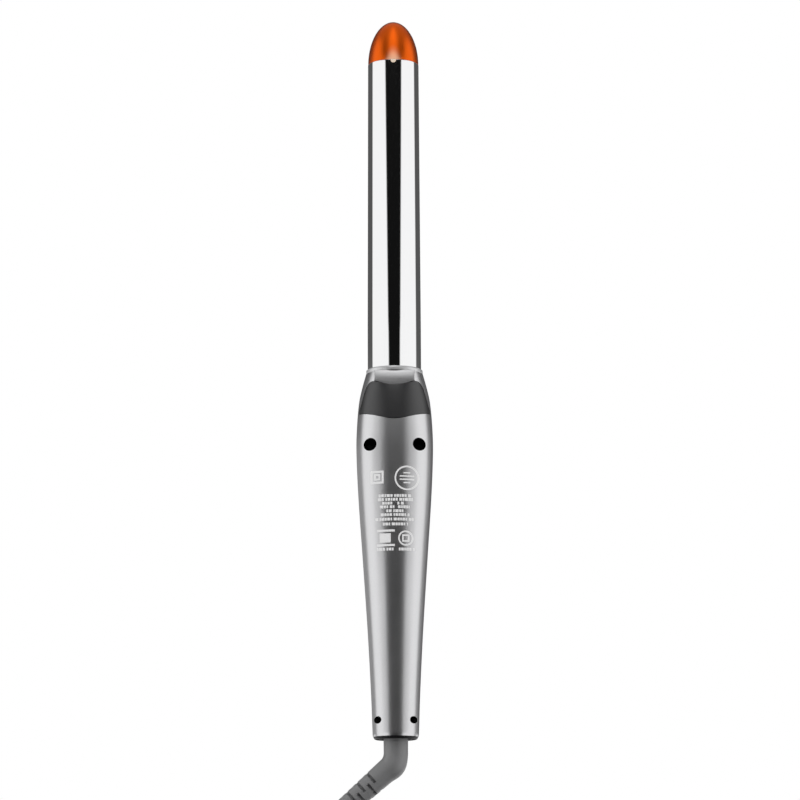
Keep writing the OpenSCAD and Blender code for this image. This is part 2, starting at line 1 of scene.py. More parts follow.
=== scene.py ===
"""Looks of the curling iron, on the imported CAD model: camera, cord, pieces, materials, light."""
import json
import math

import bmesh
import bpy
import numpy as np
from mathutils import Matrix, Vector


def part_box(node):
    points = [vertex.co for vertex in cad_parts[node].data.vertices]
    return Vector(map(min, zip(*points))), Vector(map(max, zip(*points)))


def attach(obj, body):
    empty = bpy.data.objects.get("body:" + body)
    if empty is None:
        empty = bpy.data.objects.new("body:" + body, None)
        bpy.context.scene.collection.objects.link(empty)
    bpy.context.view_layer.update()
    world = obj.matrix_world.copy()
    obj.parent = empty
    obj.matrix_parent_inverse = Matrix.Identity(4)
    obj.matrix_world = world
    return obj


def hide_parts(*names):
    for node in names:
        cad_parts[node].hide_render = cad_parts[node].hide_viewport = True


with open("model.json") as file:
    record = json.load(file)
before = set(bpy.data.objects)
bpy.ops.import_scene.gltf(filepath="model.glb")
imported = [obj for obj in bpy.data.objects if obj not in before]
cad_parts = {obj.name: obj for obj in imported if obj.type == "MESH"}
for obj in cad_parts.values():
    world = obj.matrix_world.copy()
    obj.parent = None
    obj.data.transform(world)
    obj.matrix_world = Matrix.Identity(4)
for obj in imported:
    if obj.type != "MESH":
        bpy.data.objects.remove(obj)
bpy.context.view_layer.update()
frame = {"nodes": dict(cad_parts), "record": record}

MM = 0.001
# The height of the handle's tail end: part.scad measures everything from there, in millimetres.
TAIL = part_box("tail_ring")[0][2]


def row(points):
    """Points in millimetres from the tail end, as an array in metres in the row frame."""
    return np.asarray(points, dtype=float) * MM + np.array([0.0, 0.0, TAIL])


# ---- camera

CAMERA_DISTANCE = 1.675
CAMERA_AIM_Z = 160.8
CAMERA_AIM_X = 2.6
CAMERA_BELOW = math.radians(10.0)
CAMERA_ROLL = math.radians(-0.23)
CAMERA_LENS = 158.4


def make_camera():
    data = bpy.data.cameras.new("camera")
    data.lens = CAMERA_LENS
    data.sensor_width = 36.0
    data.clip_start, data.clip_end = 0.05, 50.0
    cam = bpy.data.objects.new("camera", data)
    bpy.context.collection.objects.link(cam)
    aim = Vector(row([CAMERA_AIM_X, 0, CAMERA_AIM_Z]))
    back = Vector((0, -math.cos(CAMERA_BELOW), -math.sin(CAMERA_BELOW)))
    cam.location = aim + back * CAMERA_DISTANCE
    turn = (-back).to_track_quat("-Z", "Y").to_matrix()
    cam.rotation_euler = (turn @ Matrix.Rotation(CAMERA_ROLL, 3, Vector((0, 0, 1)))).to_euler()
    bpy.context.scene.camera = cam


# ---- nodes and materials

class Graph:
    """A node tree with short calls for what the materials here need."""

    def __init__(self, tree):
        self.nodes = tree.nodes
        self.links = tree.links

    def add(self, kind, **inputs):
        node = self.nodes.new(kind)
        for name, value in inputs.items():
            self.put(node.inputs[name.replace("_", " ")], value)
        return node

    def put(self, socket, value):
        if isinstance(value, bpy.types.NodeSocket):
            self.links.new(value, socket)
        else:
            socket.default_value = value

    def math(self, operation, *values):
        node = self.nodes.new("ShaderNodeMath")
        node.operation = operation
        for socket, value in zip(node.inputs, values):
            self.put(socket, value)
        return node.outputs[0]

    def chain(self, operation, first, *others):
        """The first value combined with each of the others in turn."""
        for value in others:
            first = self.math(operation, first, value)
        return first

    def smooth(self, value, low, high):
        """0 below low, 1 above high, with a soft step between them; high may be the smaller one."""
        node = self.add("ShaderNodeMapRange", Value=value, From_Min=low, From_Max=high)
        node.interpolation_type = "SMOOTHSTEP"
        return node.outputs[0]

    def object_coordinates(self, scale):
        coordinates = self.add("ShaderNodeTexCoord").outputs["Object"]
        return self.add("ShaderNodeMapping", Vector=coordinates, Scale=scale).outputs[0]

    def noise(self, coordinates, scale, detail=2.0, roughness=0.5):
        node = self.add("ShaderNodeTexNoise", Vector=coordinates, Scale=scale, Detail=detail,
                        Roughness=roughness)
        return node.outputs["Fac"]

    def between(self, factor, low, high):
        """A number that goes from low to high as the factor goes from 0 to 1."""
        return self.add("ShaderNodeMapRange", Value=factor, To_Min=low, To_Max=high).outputs[0]

    def blend_colours(self, factor, a, b):
        """Goes from colour a to b, each a socket or four numbers, as the factor goes from 0 to 1."""
        node = self.nodes.new("ShaderNodeMix")
        node.data_type = "RGBA"
        for index, value in ((0, factor), (6, a), (7, b)):
            self.put(node.inputs[index], value)
        return node.outputs[2]

    def facing(self, start, end):
        """0 to 1 as Layer Weight's Facing, which is 0 straight on, goes from start to end."""
        return self.smooth(self.add("ShaderNodeLayerWeight", Blend=0.5).outputs["Facing"], start, end)

    def bump(self, height, strength, distance):
        return self.add("ShaderNodeBump", Strength=strength, Distance=distance, Height=height).outputs[0]


MATERIALS = {}
NO_SLOT = "none"


def speckled(name, colour, spread, scale, roughness, roughness_spread=0.03, bump=0.0, stretch=(1, 1, 1),
             metallic=0.0, bump_scale=None, **sockets):
    """A material whose colour and roughness vary by noise; sockets are given as Coat_Weight=0.3."""
    mat = bpy.data.materials.new(name)
    mat.use_nodes = True
    mat.diffuse_color = (*colour, 1.0)
    MATERIALS[name] = mat
    graph = Graph(mat.node_tree)
    inputs = graph.nodes["Principled BSDF"].inputs
    values = dict(sockets, Base_Color=(*colour, 1.0), Roughness=roughness, Metallic=metallic)
    for key, value in values.items():
        inputs[key.replace("_", " ")].default_value = value
    coordinates = graph.object_coordinates(stretch)
    low = (*[c * (1 - spread) for c in colour], 1.0)
    high = (*[min(1.0, c * (1 + spread)) for c in colour], 1.0)
    fine = graph.noise(coordinates, scale, 3.0, 0.6)
    graph.put(inputs["Base Color"], graph.blend_colours(fine, low, high))
    broad = graph.noise(coordinates, scale * 0.11)
    graph.put(inputs["Roughness"],
              graph.between(broad, roughness - roughness_spread, roughness + roughness_spread))
    if bump:
        graph.put(inputs["Normal"], graph.bump(graph.noise(coordinates, bump_scale or scale), 0.6, bump))


def make_materials():
    speckled("silver_paint", (0.74, 0.74, 0.75), 0.10, 2600, 0.285, 0.02, bump=0.000012, metallic=0.95,
             bump_scale=900)
    # The collar's paint is a lighter, rougher copy of the silver paint: a painted highlight on the collar.
    speckled("collar_highlight_paint", (0.84, 0.84, 0.85), 0.06, 2600, 0.46, 0.02, bump=0.000012, metallic=0.85)
    speckled("chrome", (0.90, 0.90, 0.905), 0.015, 60, 0.045, 0.015, stretch=(1, 1, 0.05), metallic=1.0)
    speckled("orange_plastic", (1.0, 0.14, 0.006), 0.03, 420, 0.33, 0.03, bump=0.00002, metallic=0.8,
             Specular_IOR_Level=0.1)
    # The cap's key: a paler copy of heat_plastic with a glow, a painted highlight.
    speckled("pale_key_highlight", (1.0, 0.86, 0.72), 0.03, 420, 0.45, 0.03,
             Emission_Color=(1.0, 0.80, 0.62, 1.0), Emission_Strength=0.35)
    speckled("dark_satin", (0.026, 0.026, 0.028), 0.12, 1500, 0.34, 0.03, bump=0.00002, bump_scale=2200,
             Specular_IOR_Level=0.95)
    speckled("dark_plastic", (0.014, 0.014, 0.015), 0.12, 1500, 0.40, 0.04, bump=0.00002,
             Specular_IOR_Level=0.3)
    speckled("black_steel", (0.03, 0.03, 0.032), 0.2, 900, 0.4, 0.06, metallic=1.0)
    speckled("steel", (0.62, 0.62, 0.63), 0.06, 700, 0.26, 0.05, metallic=1.0, stretch=(1, 1, 0.2))
    speckled("heat_plastic", (0.78, 0.72, 0.60), 0.05, 600, 0.5, 0.05, bump=0.00002)
    speckled("ceramic", (0.90, 0.90, 0.87), 0.03, 800, 0.45, 0.05, bump=0.00001)
    speckled("aluminium", (0.80, 0.80, 0.82), 0.04, 500, 0.32, 0.05, metallic=1.0, stretch=(1, 1, 0.08))
    speckled("mica", (0.66, 0.56, 0.36), 0.2, 260, 0.3, 0.08)
    speckled("sensor_glass", (0.70, 0.45, 0.20), 0.08, 500, 0.12, 0.03, Transmission_Weight=0.6)
    speckled("lead_sleeve", (0.72, 0.70, 0.64), 0.05, 700, 0.5, 0.05)
    speckled("board_green", (0.03, 0.20, 0.09), 0.15, 500, 0.3, 0.05)
    speckled("capacitor_yellow", (0.78, 0.55, 0.07), 0.06, 500, 0.28, 0.05)
    speckled("led_red", (0.72, 0.04, 0.03), 0.05, 500, 0.15, 0.03, Transmission_Weight=0.4)
    speckled("lens_orange", (0.85, 0.16, 0.03), 0.05, 700, 0.12, 0.03, Transmission_Weight=0.45)
    speckled("brass", (0.75, 0.56, 0.22), 0.06, 500, 0.3, 0.05, metallic=1.0)
    speckled("brass_plated", (0.74, 0.74, 0.73), 0.04, 500, 0.2, 0.04, metallic=1.0, stretch=(1, 1, 0.1))
    speckled("cord_rubber", (0.33, 0.33, 0.335), 0.12, 1400, 0.42, 0.05, bump=0.00003, bump_scale=1600,
             Specular_IOR_Level=0.8)
    speckled("plug_rubber", (0.065, 0.065, 0.068), 0.12, 1400, 0.48, 0.05, bump=0.00003, bump_scale=1600)
    speckled("tie_plastic", (0.02, 0.02, 0.021), 0.15, 900, 0.5, 0.05, bump=0.00004)
    # White print, with a faint glow as a painted highlight that makes it brighter.
    speckled("print_white", (0.93, 0.93, 0.93), 0.04, 1500, 0.55, 0.04,
             Emission_Color=(1, 1, 1, 1), Emission_Strength=0.3)
    # Inside of the screw wells: unpainted plastic, drawn near black and dull, darker than dark_plastic, as
    # painted shade of the deep wells.
    speckled("well_shade_black", (0.006, 0.006, 0.006), 0.2, 900, 0.75, 0.05, Specular_IOR_Level=0.15)
    # Painted shade: the cool tip's colour goes dark brown towards its edges.
    painted_shading_by_facing("orange_plastic", (0.22, 0.045, 0.006), 0.5, 1.0)
    # Painted highlight: the cool tip's colour goes paler where it faces the viewer straight on.
    painted_shading_by_facing("orange_plastic", (1.0, 0.40, 0.20), 0.12, 0.02)
    # Painted highlight: a faint pale glow down the middle of the cool tip, where it faces the viewer.
    painted_glow_by_facing("orange_plastic", (1.0, 0.64, 0.44), 0.088, 0.03, 0.42)
    # Painted shade: the silver paint goes darker towards the handle's edges.
    painted_shading_by_facing("silver_paint", (0.26, 0.26, 0.265), 0.70, 1.0)


def painted_shading_by_facing(name, tint, start, end):
    """Paints light and shade into a material: blends its colour towards a tint as Layer Weight's Facing, 0
    straight on, goes from start to end.
    """
    graph = Graph(MATERIALS[name].node_tree)
    colour = graph.nodes["Principled BSDF"].inputs["Base Color"]
    source = colour.links[0].from_socket
    graph.put(colour, graph.blend_colours(graph.facing(start, end), source, (*tint, 1.0)))


def painted_glow_by_facing(name, colour, start, end, strength):
    """A faint glow where the surface faces the viewer straight on, a painted highlight, with the same kind
    of limits as the tint's.
    """
    graph = Graph(MATERIALS[name].node_tree)
    shader = graph.nodes["Principled BSDF"]
    graph.put(shader.inputs["Emission Color"], (*colour, 1.0))
    graph.put(shader.inputs["Emission Strength"], graph.math("MULTIPLY", graph.facing(start, end), strength))


def place(obj, material, body, *nodes, slot=None):
    """Gives a piece its material and body, and hides the CAD nodes it stands for, if any; slot is not used.
    """
    obj.data.materials.clear()
    obj.data.materials.append(MATERIALS[material])
    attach(obj, body)
    if nodes:
        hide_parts(*nodes)


# ---- mesh helpers

SHARP = math.radians(32)


def mesh_object(name, vertices, faces, sharp=SHARP):
    """An object from points in millimetres, smooth except across edges sharper than an angle."""
    data = bpy.data.meshes.new(name)
    data.from_pydata([tuple(v) for v in row(vertices)], [], faces)
    data.update()
    obj = bpy.data.objects.new(name, data)
    bpy.context.collection.objects.link(obj)
    finish_mesh(obj, sharp)
    return obj


def finish_mesh(obj, sharp=SHARP):
    """Joins doubled points, points the faces outwards and marks the sharp edges."""
    bm = bmesh.new()
    bm.from_mesh(obj.data)
    bmesh.ops.remove_doubles(bm, verts=bm.verts, dist=1e-7)
    bmesh.ops.dissolve_degenerate(bm, edges=bm.edges, dist=1e-8)
    bmesh.ops.recalc_face_normals(bm, faces=bm.faces)
    for f in bm.faces:
        f.smooth = True
    for e in bm.edges:
        e.smooth = len(e.link_faces) != 2 or e.calc_face_angle(0.0) < sharp
    bm.to_mesh(obj.data)
    bm.free()


def grid_faces(rows, cols, around=False, start=0):
    """Quads of a grid of rows by cols points; around joins the last column to the first."""
    last = cols if around else cols - 1
    return [(start + r * cols + c, start + r * cols + (c + 1) % cols,
             start + (r + 1) * cols + (c + 1) % cols, start + (r + 1) * cols + c)
            for r in range(rows - 1) for c in range(last)]


def at(x, y, z):
    """Points (x, y, z) from three arrays or numbers that fit each other."""
    return np.stack(np.broadcast_arrays(x, y, z), axis=-1).astype(float)


def sleeve(name, rings, ends=False, sharp=SHARP):
    """A mesh over closed rings of points in millimetres, with both ends filled if asked for."""
    n = len(rings[0])
    last = (len(rings) - 1) * n
    faces = grid_faces(len(rings), n, around=True)
    if ends:
        faces += [tuple(range(n - 1, -1, -1)), tuple(range(last, last + n))]
    return mesh_object(name, np.concatenate(rings), faces, sharp)


def slab(name, outer, inner, sharp=SHARP):
    """The closed solid between two grids of points in millimetres, each rows by cols by 3."""
    rows, cols = outer.shape[:2]
    n = rows * cols
    vertices = np.concatenate([outer.reshape(-1, 3), inner.reshape(-1, 3)])
    faces = grid_faces(rows, cols) + [tuple(reversed(f)) for f in grid_faces(rows, cols, start=n)]
    rim = [(0, c) for c in range(cols)] + [(r, cols - 1) for r in range(1, rows)]
    rim += [(rows - 1, c) for c in range(cols - 2, -1, -1)] + [(r, 0) for r in range(rows - 2, 0, -1)]
    ids = [r * cols + c for r, c in rim]
    for a, b in zip(ids, ids[1:] + ids[:1]):
        faces.append((b, a, a + n, b + n))
    return mesh_object(name, vertices, faces, sharp)


def circle(n):
    """Angles in radians, evenly round a circle."""
    return np.arange(n) * 2 * math.pi / n


def revolve(name, profile, segments=192, centre=(0, 0)):
    """Turns a closed profile of (radius, height) points about a vertical axis, in millimetres."""
    a = circle(segments)
    return sleeve(name, [at(centre[0] + r * np.cos(a), centre[1] + r * np.sin(a), z)
                         for r, z in [*profile, profile[0]]])


def arc(cx, cy, r, a0, a1, n):
    """Points of an arc in a plane, angles in degrees."""
    t = np.radians(np.linspace(a0, a1, n))
    return [(cx + r * math.cos(a), cy + r * math.sin(a)) for a in t]


def tube(name, path, radius, sides=32, sharp=SHARP):
    """A swept tube along points in millimetres; radius has one number, one a point, or one a vertex."""
    path = np.asarray(path, dtype=float)
    radii = np.asarray(radius, dtype=float)
    radii = np.broadcast_to(radii.reshape(-1, 1) if radii.ndim < 2 else radii, (len(path), sides))
    angles = circle(sides)
    rings = [p + r[:, None] * (np.outer(np.cos(angles), n) + np.outer(np.sin(angles), b))
             for p, r, (n, b) in zip(path, radii, carried_frames(path))]
    return sleeve(name, rings, True, sharp)


def carried_frames(path):
    """Two directions across the path at each point, carried along it without twist."""
    tangents = np.gradient(path, axis=0)
    tangents /= np.linalg.norm(tangents, axis=1)[:, None]
    n = np.array([0.0, 1.0, 0.0]) if abs(tangents[0][1]) < 0.9 else np.array([1.0, 0.0, 0.0])
    frames = []
    for t in tangents:
        n = n - n.dot(t) * t
        n /= np.linalg.norm(n)
        frames.append((n, np.cross(t, n)))
    return frames


def block(name, x, y, z):
    return sleeve(name, [[(x[i], y[j], h) for i, j in ((0, 0), (1, 0), (1, 1), (0, 1))] for h in z], True)


def rod(name, radius, a, b, sides=48):
    return tube(name, [a, b], radius, sides)


def apply_modifiers(obj):
    graph = bpy.context.evaluated_depsgraph_get()
    data = bpy.data.meshes.new_from_object(obj.evaluated_get(graph))
    obj.modifiers.clear()
    obj.data = data


def remove(*objects):
    for o in objects:
        bpy.data.objects.remove(o, do_unlink=True)


def cut(obj, *cutters):
    """Cuts each closed piece out of obj, then throws the cutters away."""
    for c in cutters:
        m = obj.modifiers.new("cut", "BOOLEAN")
        m.operation, m.solver, m.object = "DIFFERENCE", "EXACT", c
        apply_modifiers(obj)
    remove(*cutters)
    finish_mesh(obj)
    return obj


def rounded(obj, width, segments=3, angle=SHARP):
    """Rounds the edges of a piece that are sharper than an angle, by a width in millimetres."""
    m = obj.modifiers.new("round", "BEVEL")
    m.width, m.segments, m.limit_method, m.angle_limit = width * MM, segments, "ANGLE", angle
    m.harden_normals = False
    apply_modifiers(obj)
    finish_mesh(obj, math.radians(40))
    return obj


def join(name, *objects):
    """Joins pieces into the first one, under a new name."""
    bm = bmesh.new()
    for o in objects:
        bm.from_mesh(o.data)
    data = bpy.data.meshes.new(name)
    bm.to_mesh(data)
    bm.free()
    obj = objects[0]
    obj.data = data
    obj.name = name
    remove(*objects[1:])
    return obj


# ---- the handle's form

STATIONS = np.array([
    [0, 10.8, 10.8], [20, 11.5, 11.3], [50, 13.05, 12.2], [85, 15.35, 13.9], [115, 17.35, 15.0],
    [137, 18.2, 15.7], [150, 17.75, 15.75], [160, 16.75, 15.5], [167, 15.2, 14.9], [175, 12.95, 12.95]])
SHELL_FROM = 0.6
SHELL_TO = (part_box("rear_shell")[1][2] - TAIL) / MM
SEAM_EDGE = 0.28
WALL = 1.7
THICK_WALL = 4.5
# Heights where the wall goes from thin to thick, and from thick to the bore of the neck.
THICK_FROM = (146.1, 146.2)
THICK_TO = (167.6, 167.8)
NECK_BORE_R = 12.8


def on_curve(z, column):
    """The smooth curve through one column of the stations, as in part.scad."""
    s = STATIONS
    last = len(s) - 1
    spans = [(max(i - 1, 0), min(i + 1, last)) for i in range(len(s))]
    slopes = np.array([(s[b, column] - s[a, column]) / (s[b, 0] - s[a, 0]) for a, b in spans])
    z = np.asarray(z, dtype=float)
    i = np.clip(np.searchsorted(s[:, 0], z, side="right") - 1, 0, last - 1)
    h = s[i + 1, 0] - s[i, 0]
    t = (z - s[i, 0]) / h
    return ((2 * t**3 - 3 * t**2 + 1) * s[i, column] + (t**3 - 2 * t**2 + t) * h * slopes[i]
            + (3 * t**2 - 2 * t**3) * s[i + 1, column] + (t**3 - t**2) * h * slopes[i + 1])


def half_w(z):
    return on_curve(z, 1)


def half_d(z):
    return on_curve(z, 2)


def surface_y(x, z, lift=0.0):
    """Depth of the handle's surface at (x, z), with the surface moved out by lift."""
    return (half_d(z) + lift) * np.sqrt(np.maximum(0, 1 - (x / (half_w(z) + lift)) ** 2))


def on_back(x, z, out):
    """Points of the handle's back at (x, z), moved out by a distance in millimetres."""
    return at(x, -surface_y(x, z) - out, z)


def half_handle(name, side):
    """One shell of the handle: side -1 is the back and +1 the front."""
    angles = np.concatenate([[0, 0.5, 1.2], np.linspace(2.2, 177.8, 118), [178.8, 179.5, 180]])
    shrink = SEAM_EDGE * np.array([1, 0.45, 0.12] + [0] * 118 + [0.12, 0.45, 1])
    zs = np.concatenate([np.linspace(SHELL_FROM, SHELL_TO, 216), THICK_FROM, THICK_TO])
    zs = np.unique(np.round(zs, 3))
    t = np.radians(angles)
    z = zs[:, None]
    lip = 0.22 * np.clip(1 - (z - SHELL_FROM) / 0.9, 0, 1) ** 2
    w = half_w(z) - shrink - lip
    d = half_d(z) - shrink - lip
    outer = at(w * np.cos(t), side * d * np.sin(t), z)
    wall = np.where(z > np.mean(THICK_FROM), THICK_WALL, WALL)
    bored = z > np.mean(THICK_TO)
    inner_w = np.where(bored, NECK_BORE_R, half_w(z) - wall)
    inner_d = np.where(bored, NECK_BORE_R, half_d(z) - wall)
    inner = at(inner_w * np.cos(t), side * inner_d * np.sin(t), z)
    return slab(name, outer, inner)


# ---- rest stand

STAND_TOP = np.array([[0, 165.9], [3, 166.05], [6, 166.8], [8, 167.5], [9.8, 167.9], [11.2, 167.7],
                      [12.6, 166.5], [14, 163.4], [15.4, 158], [16.5, 154.2]])
STAND_BOTTOM = np.array([[0, 149.4], [2.5, 149.5], [4.5, 149.9], [7.2, 150.9], [10, 151.6],
                         [13, 152.4], [16.5, 153.2]])
STAND_T = 2.0
STAND_THIN = 0.45  # How much of its thickness the stand loses at its sides.
STAND_GAP = 0.2
HINGE_Y = -13.9
HINGE_Z = 151.8
NOSE_R = 1.3
NOSE_HALF = 4.4
LUG_R = 1.1
LUG_HALF = 1.8
LUG_ROOM = 2.1
GROOVE_R = 3.2


def smooth_lookup(x, table, reach=0.7):
    """A rounded curve through a table, by averaging straight lookups over a short reach."""
    offsets = np.linspace(-reach, reach, 13)
    return np.mean([np.interp(np.clip(np.abs(x + o), 0, table[-1, 0]), table[:, 0], table[:, 1])
                    for o in offsets], axis=0)


def stand_grid(grow, lift, deeper=0.0, thin=0.0, rows=40, cols=121):
    """Grid of points on the handle's back over the stand's outline, grown, lifted or set deeper."""
    widest = STAND_TOP[-1, 0]
    u = np.sin(np.linspace(-0.5, 0.5, cols) * math.pi) * widest
    bottom = smooth_lookup(u, STAND_BOTTOM, 3.0) - grow
    top = smooth_lookup(u, STAND_TOP) + grow
    v = np.linspace(0, 1, rows)[:, None]
    z = bottom + (top - bottom) * v
    x = u * (1 + grow / widest)
    depth = deeper * (1 - thin * (u / widest) ** 4)
    return at(x, depth - surface_y(x, z, lift), z)


def hinge_rod(radius, half):
    """A rod along the stand's hinge."""
    return rod("hinge_rod", radius, (-half, HINGE_Y, HINGE_Z), (half, HINGE_Y, HINGE_Z))


def recess_cutter():
    return slab("recess", stand_grid(STAND_GAP, 3.0), stand_grid(STAND_GAP, 0, STAND_T + 0.4))


def make_stand():
    """A curved plate with a nose on its hinge side, slotted for the lug of the shell."""
    plate = slab("rest_stand_plate", stand_grid(0, 0), stand_grid(0, 0, STAND_T, STAND_THIN))
    room = (-LUG_ROOM, LUG_ROOM)
    cut(plate, block("lug_room", room, (-13.0, -8), (145, 153.4)),
        block("root_room", room, (-15.05, -8), (145, HINGE_Z)),
        hinge_rod(LUG_R + 0.4, LUG_ROOM))
    rounded(plate, 0.2)
    nose = hinge_rod(NOSE_R, NOSE_HALF)
    cut(nose, block("nose_slot", room, (-20, -8), (148, 155)))
    stand = join("rest_stand_piece", plate, nose)
    place(stand, "dark_satin", "stand", "rest_stand")


# ---- shells

UPPER_SCREW = (11.6, 137.5)
UPPER_WELL_R = 3.05
LOWER_SCREW = (8.4, 8.1)
LOWER_WELL_R = 1.7
NOTCH_HALF = 9.6
NOTCH_Y = -13.3
KNOB_Z = 102.0
KNOB_TRAVEL = 6.0
LED_Z = 122.0


def prism_x(name, outline, x0, x1):
    """A solid whose (y, z) outline runs from x0 to x1, in millimetres."""
    return sleeve(name, [[(x, y, z) for y, z in outline] for x in (x0, x1)], True)


def well_liner(x, z, r, depth_y, segments=72):
    """The dark wall and floor of a screw well, cut off flush with the handle's back."""
    angles = circle(segments)
    rings = []
    for radius, floor in ((r, None), (r, depth_y), (r * 0.45, depth_y), (r * 0.45, depth_y + 0.5),
                          (r + 0.5, depth_y + 0.5), (r + 0.5, None), (r, None)):
        xs, zs = x + radius * np.cos(angles), z + radius * np.sin(angles)
        rings.append(on_back(xs, zs, -0.12) if floor is None else at(xs, floor, zs))
    return sleeve("well_liner", rings)


def make_rear_shell():
    """The back: finger notch with its pad, stand recess, hinge lug and four lined screw wells."""
    shell = half_handle("rear_shell_piece", -1)
    pad = prism_x("pad", [(-10.5, 164), (NOTCH_Y, 164), (NOTCH_Y, 169.6), (-13.1, 171.6),
                          (-12.9, SHELL_TO), (-10.5, SHELL_TO)], -NOTCH_HALF, NOTCH_HALF)
    rounded(pad, 0.35)
    cut(pad, rod("bore", NECK_BORE_R, (0, 0, 160), (0, 0, 180), 128), recess_cutter())
    grooves = []
    for half, edge in ((4.4, -14.9), (6.4, -14.1)):
        grooves.append(cut(hinge_rod(GROOVE_R, half), block("above", (-20, 20), (-30, edge), (140, 160))))
    # The notch stops just short of the bore, so that only the pad's face shows in it.
    notch = block("notch", (-NOTCH_HALF, NOTCH_HALF), (-20, NECK_BORE_R * -1.004), (165, 176))
    cutters = [recess_cutter(), notch, *grooves]
    liners = []
    for (x, z), r, floor in ((UPPER_SCREW, UPPER_WELL_R, -4.0), (LOWER_SCREW, LOWER_WELL_R, -3.0)):
        for s in (-1, 1):
            cutters.append(rod("well", r + 0.02, (s * x, -20, z), (s * x, floor + 0.2, z), 96))
            liners.append(well_liner(s * x, z, r, floor))
    cut(shell, *cutters)
    root = block("root", (-LUG_HALF, LUG_HALF), (HINGE_Y + LUG_R / 2, -10.6), (150.7, 157))
    shell = join("rear_shell_piece", shell, pad, hinge_rod(LUG_R, LUG_HALF), root)
    place(shell, "silver_paint", "handle", "rear_shell")
    wells = join("screw_well_piece", *liners)
    # The liners are near black as painted shade of the deep wells; their slot is dark_plastic.
    place(wells, "well_shade_black", "handle", slot="dark_plastic")


def rounded_block(name, x, y, z, r):
    """A block with round corners seen along Y."""
    corners = ((x[1] - r, z[1] - r, 0), (x[0] + r, z[1] - r, 90), (x[0] + r, z[0] + r, 180),
               (x[1] - r, z[0] + r, 270))
    outline = [point for cx, cz, a in corners for point in arc(cx, cz, r, a, a + 90, 8)]
    return sleeve(name, [[(p, depth, q) for p, q in outline] for depth in y], True)


def make_front_shell():
    """The front: a recess with a slot for the switch knob, and the lens hole."""
    shell = half_handle("front_shell_piece", 1)
    low, high = KNOB_Z - 6, KNOB_Z + KNOB_TRAVEL + 6
    slot_z = (KNOB_Z - 2.5, KNOB_Z + KNOB_TRAVEL + 2.5)
    floor = block("recess_floor", (-6.4, 6.4), (11.2, 12.6), (low - 2, high + 2))
    cut(floor, block("slot", (-2.2, 2.2), (5, 20), slot_z))
    cut(shell, rounded_block("knob_recess", (-4.4, 4.4), (12.6, 20), (low, high), 1.6),
        block("knob_slot", (-2.2, 2.2), (9, 20), slot_z),
        rod("lens_hole", 1.85, (0, 5, LED_Z), (0, 20, LED_Z), 64))
    shell = join("front_shell_piece", shell, floor)
    place(shell, "silver_paint", "handle", "front_shell")


# ---- screws, switch, lens

def turned(obj, base, direction):
    """Moves a piece drawn along +Z at the tail end to base, with its +Z along direction."""
    turn = Vector((0, 0, 1)).rotation_difference(Vector(direction)).to_matrix().to_4x4()
    tail = Matrix.Translation((0, 0, TAIL))
    obj.data.transform(Matrix.Translation(Vector(base) * MM) @ tail @ turn @ tail.inverted())
    return obj


def pan_screw(base, direction, r, h, shank_r, shank_len):
    """A screw with a domed head and a cross recess; base is the underside of its head."""
    dome = [(r * math.cos(a), h * (0.35 + 0.65 * math.sin(a))) for a in np.radians([0, 20, 40, 60, 80])]
    head = revolve("screw", [(0.001, h), (0.001, -shank_len), (shank_r, -shank_len), (shank_r, 0.01), (r, 0)]
                   + dome, 48)
    arm, half = r * 0.62, r * 0.13
    cut(head, block("cross", (-arm, arm), (-half, half), (h * 0.45, h * 2)),
        block("cross", (-half, half), (-arm, arm), (h * 0.45, h * 2)))
    return turned(head, base, direction)


def make_screws():
    for name, (x, z), floor, sizes in (("upper_screws", UPPER_SCREW, -4, (2.6, 1.6, 1.35, 12)),
                                       ("lower_screws", LOWER_SCREW, -3, (1.5, 1.0, 0.87, 8))):
        screws = [pan_screw((s * x, floor, z), (0, -1, 0), *sizes) for s in (-1, 1)]
        place(join(name + "_piece", *screws), "black_steel", "handle", name)


def make_switch():
    """A slide knob with a rounded edge and five grooves across it, and the indicator lens."""
    knob = rounded_block("knob", (-3.9, 3.9), (12.95, 16.2), (KNOB_Z - 5.5, KNOB_Z + 5.5), 1.3)
    rounded(knob, 0.45, 4)
    cut(knob, *[rod("ridge", 0.5, (-6, 16.35, KNOB_Z + k), (6, 16.35, KNOB_Z + k), 24)
                for k in (-3.2, -1.6, 0, 1.6, 3.2)])
    foot = block("foot", (-1.9, 1.9), (9.8, 13.2), (KNOB_Z - 2.2, KNOB_Z + 2.2))
    knob = join("switch_knob_piece", knob, foot)
    place(knob, "dark_plastic", "switch", "switch_knob")
    lens = revolve("indicator_lens_piece",
                   [(0.001, 10), (2.6, 10), (2.6, 11), (1.75, 11), (1.75, 14.95), (1.6, 15.2), (1.2, 15.4),
                    (0.6, 15.5), (0.001, 15.52)], 64)
    place(turned(lens, (0, 0, LED_Z), (0, 1, 0)), "lens_orange", "handle", "indicator_lens")


# ---- rings, barrel, tip

BARREL_R = 12.7
BARREL_TIP_R = 12.2
BARREL_TOP = 325.0
TAPER_Z = 195.0
CAP_LEN = 21.6
CAP_R = 12.12


def barrel_radius(z):
    return BARREL_R - (BARREL_R - BARREL_TIP_R) * np.clip((z - TAPER_Z) / (BARREL_TOP - TAPER_Z), 0, 1)


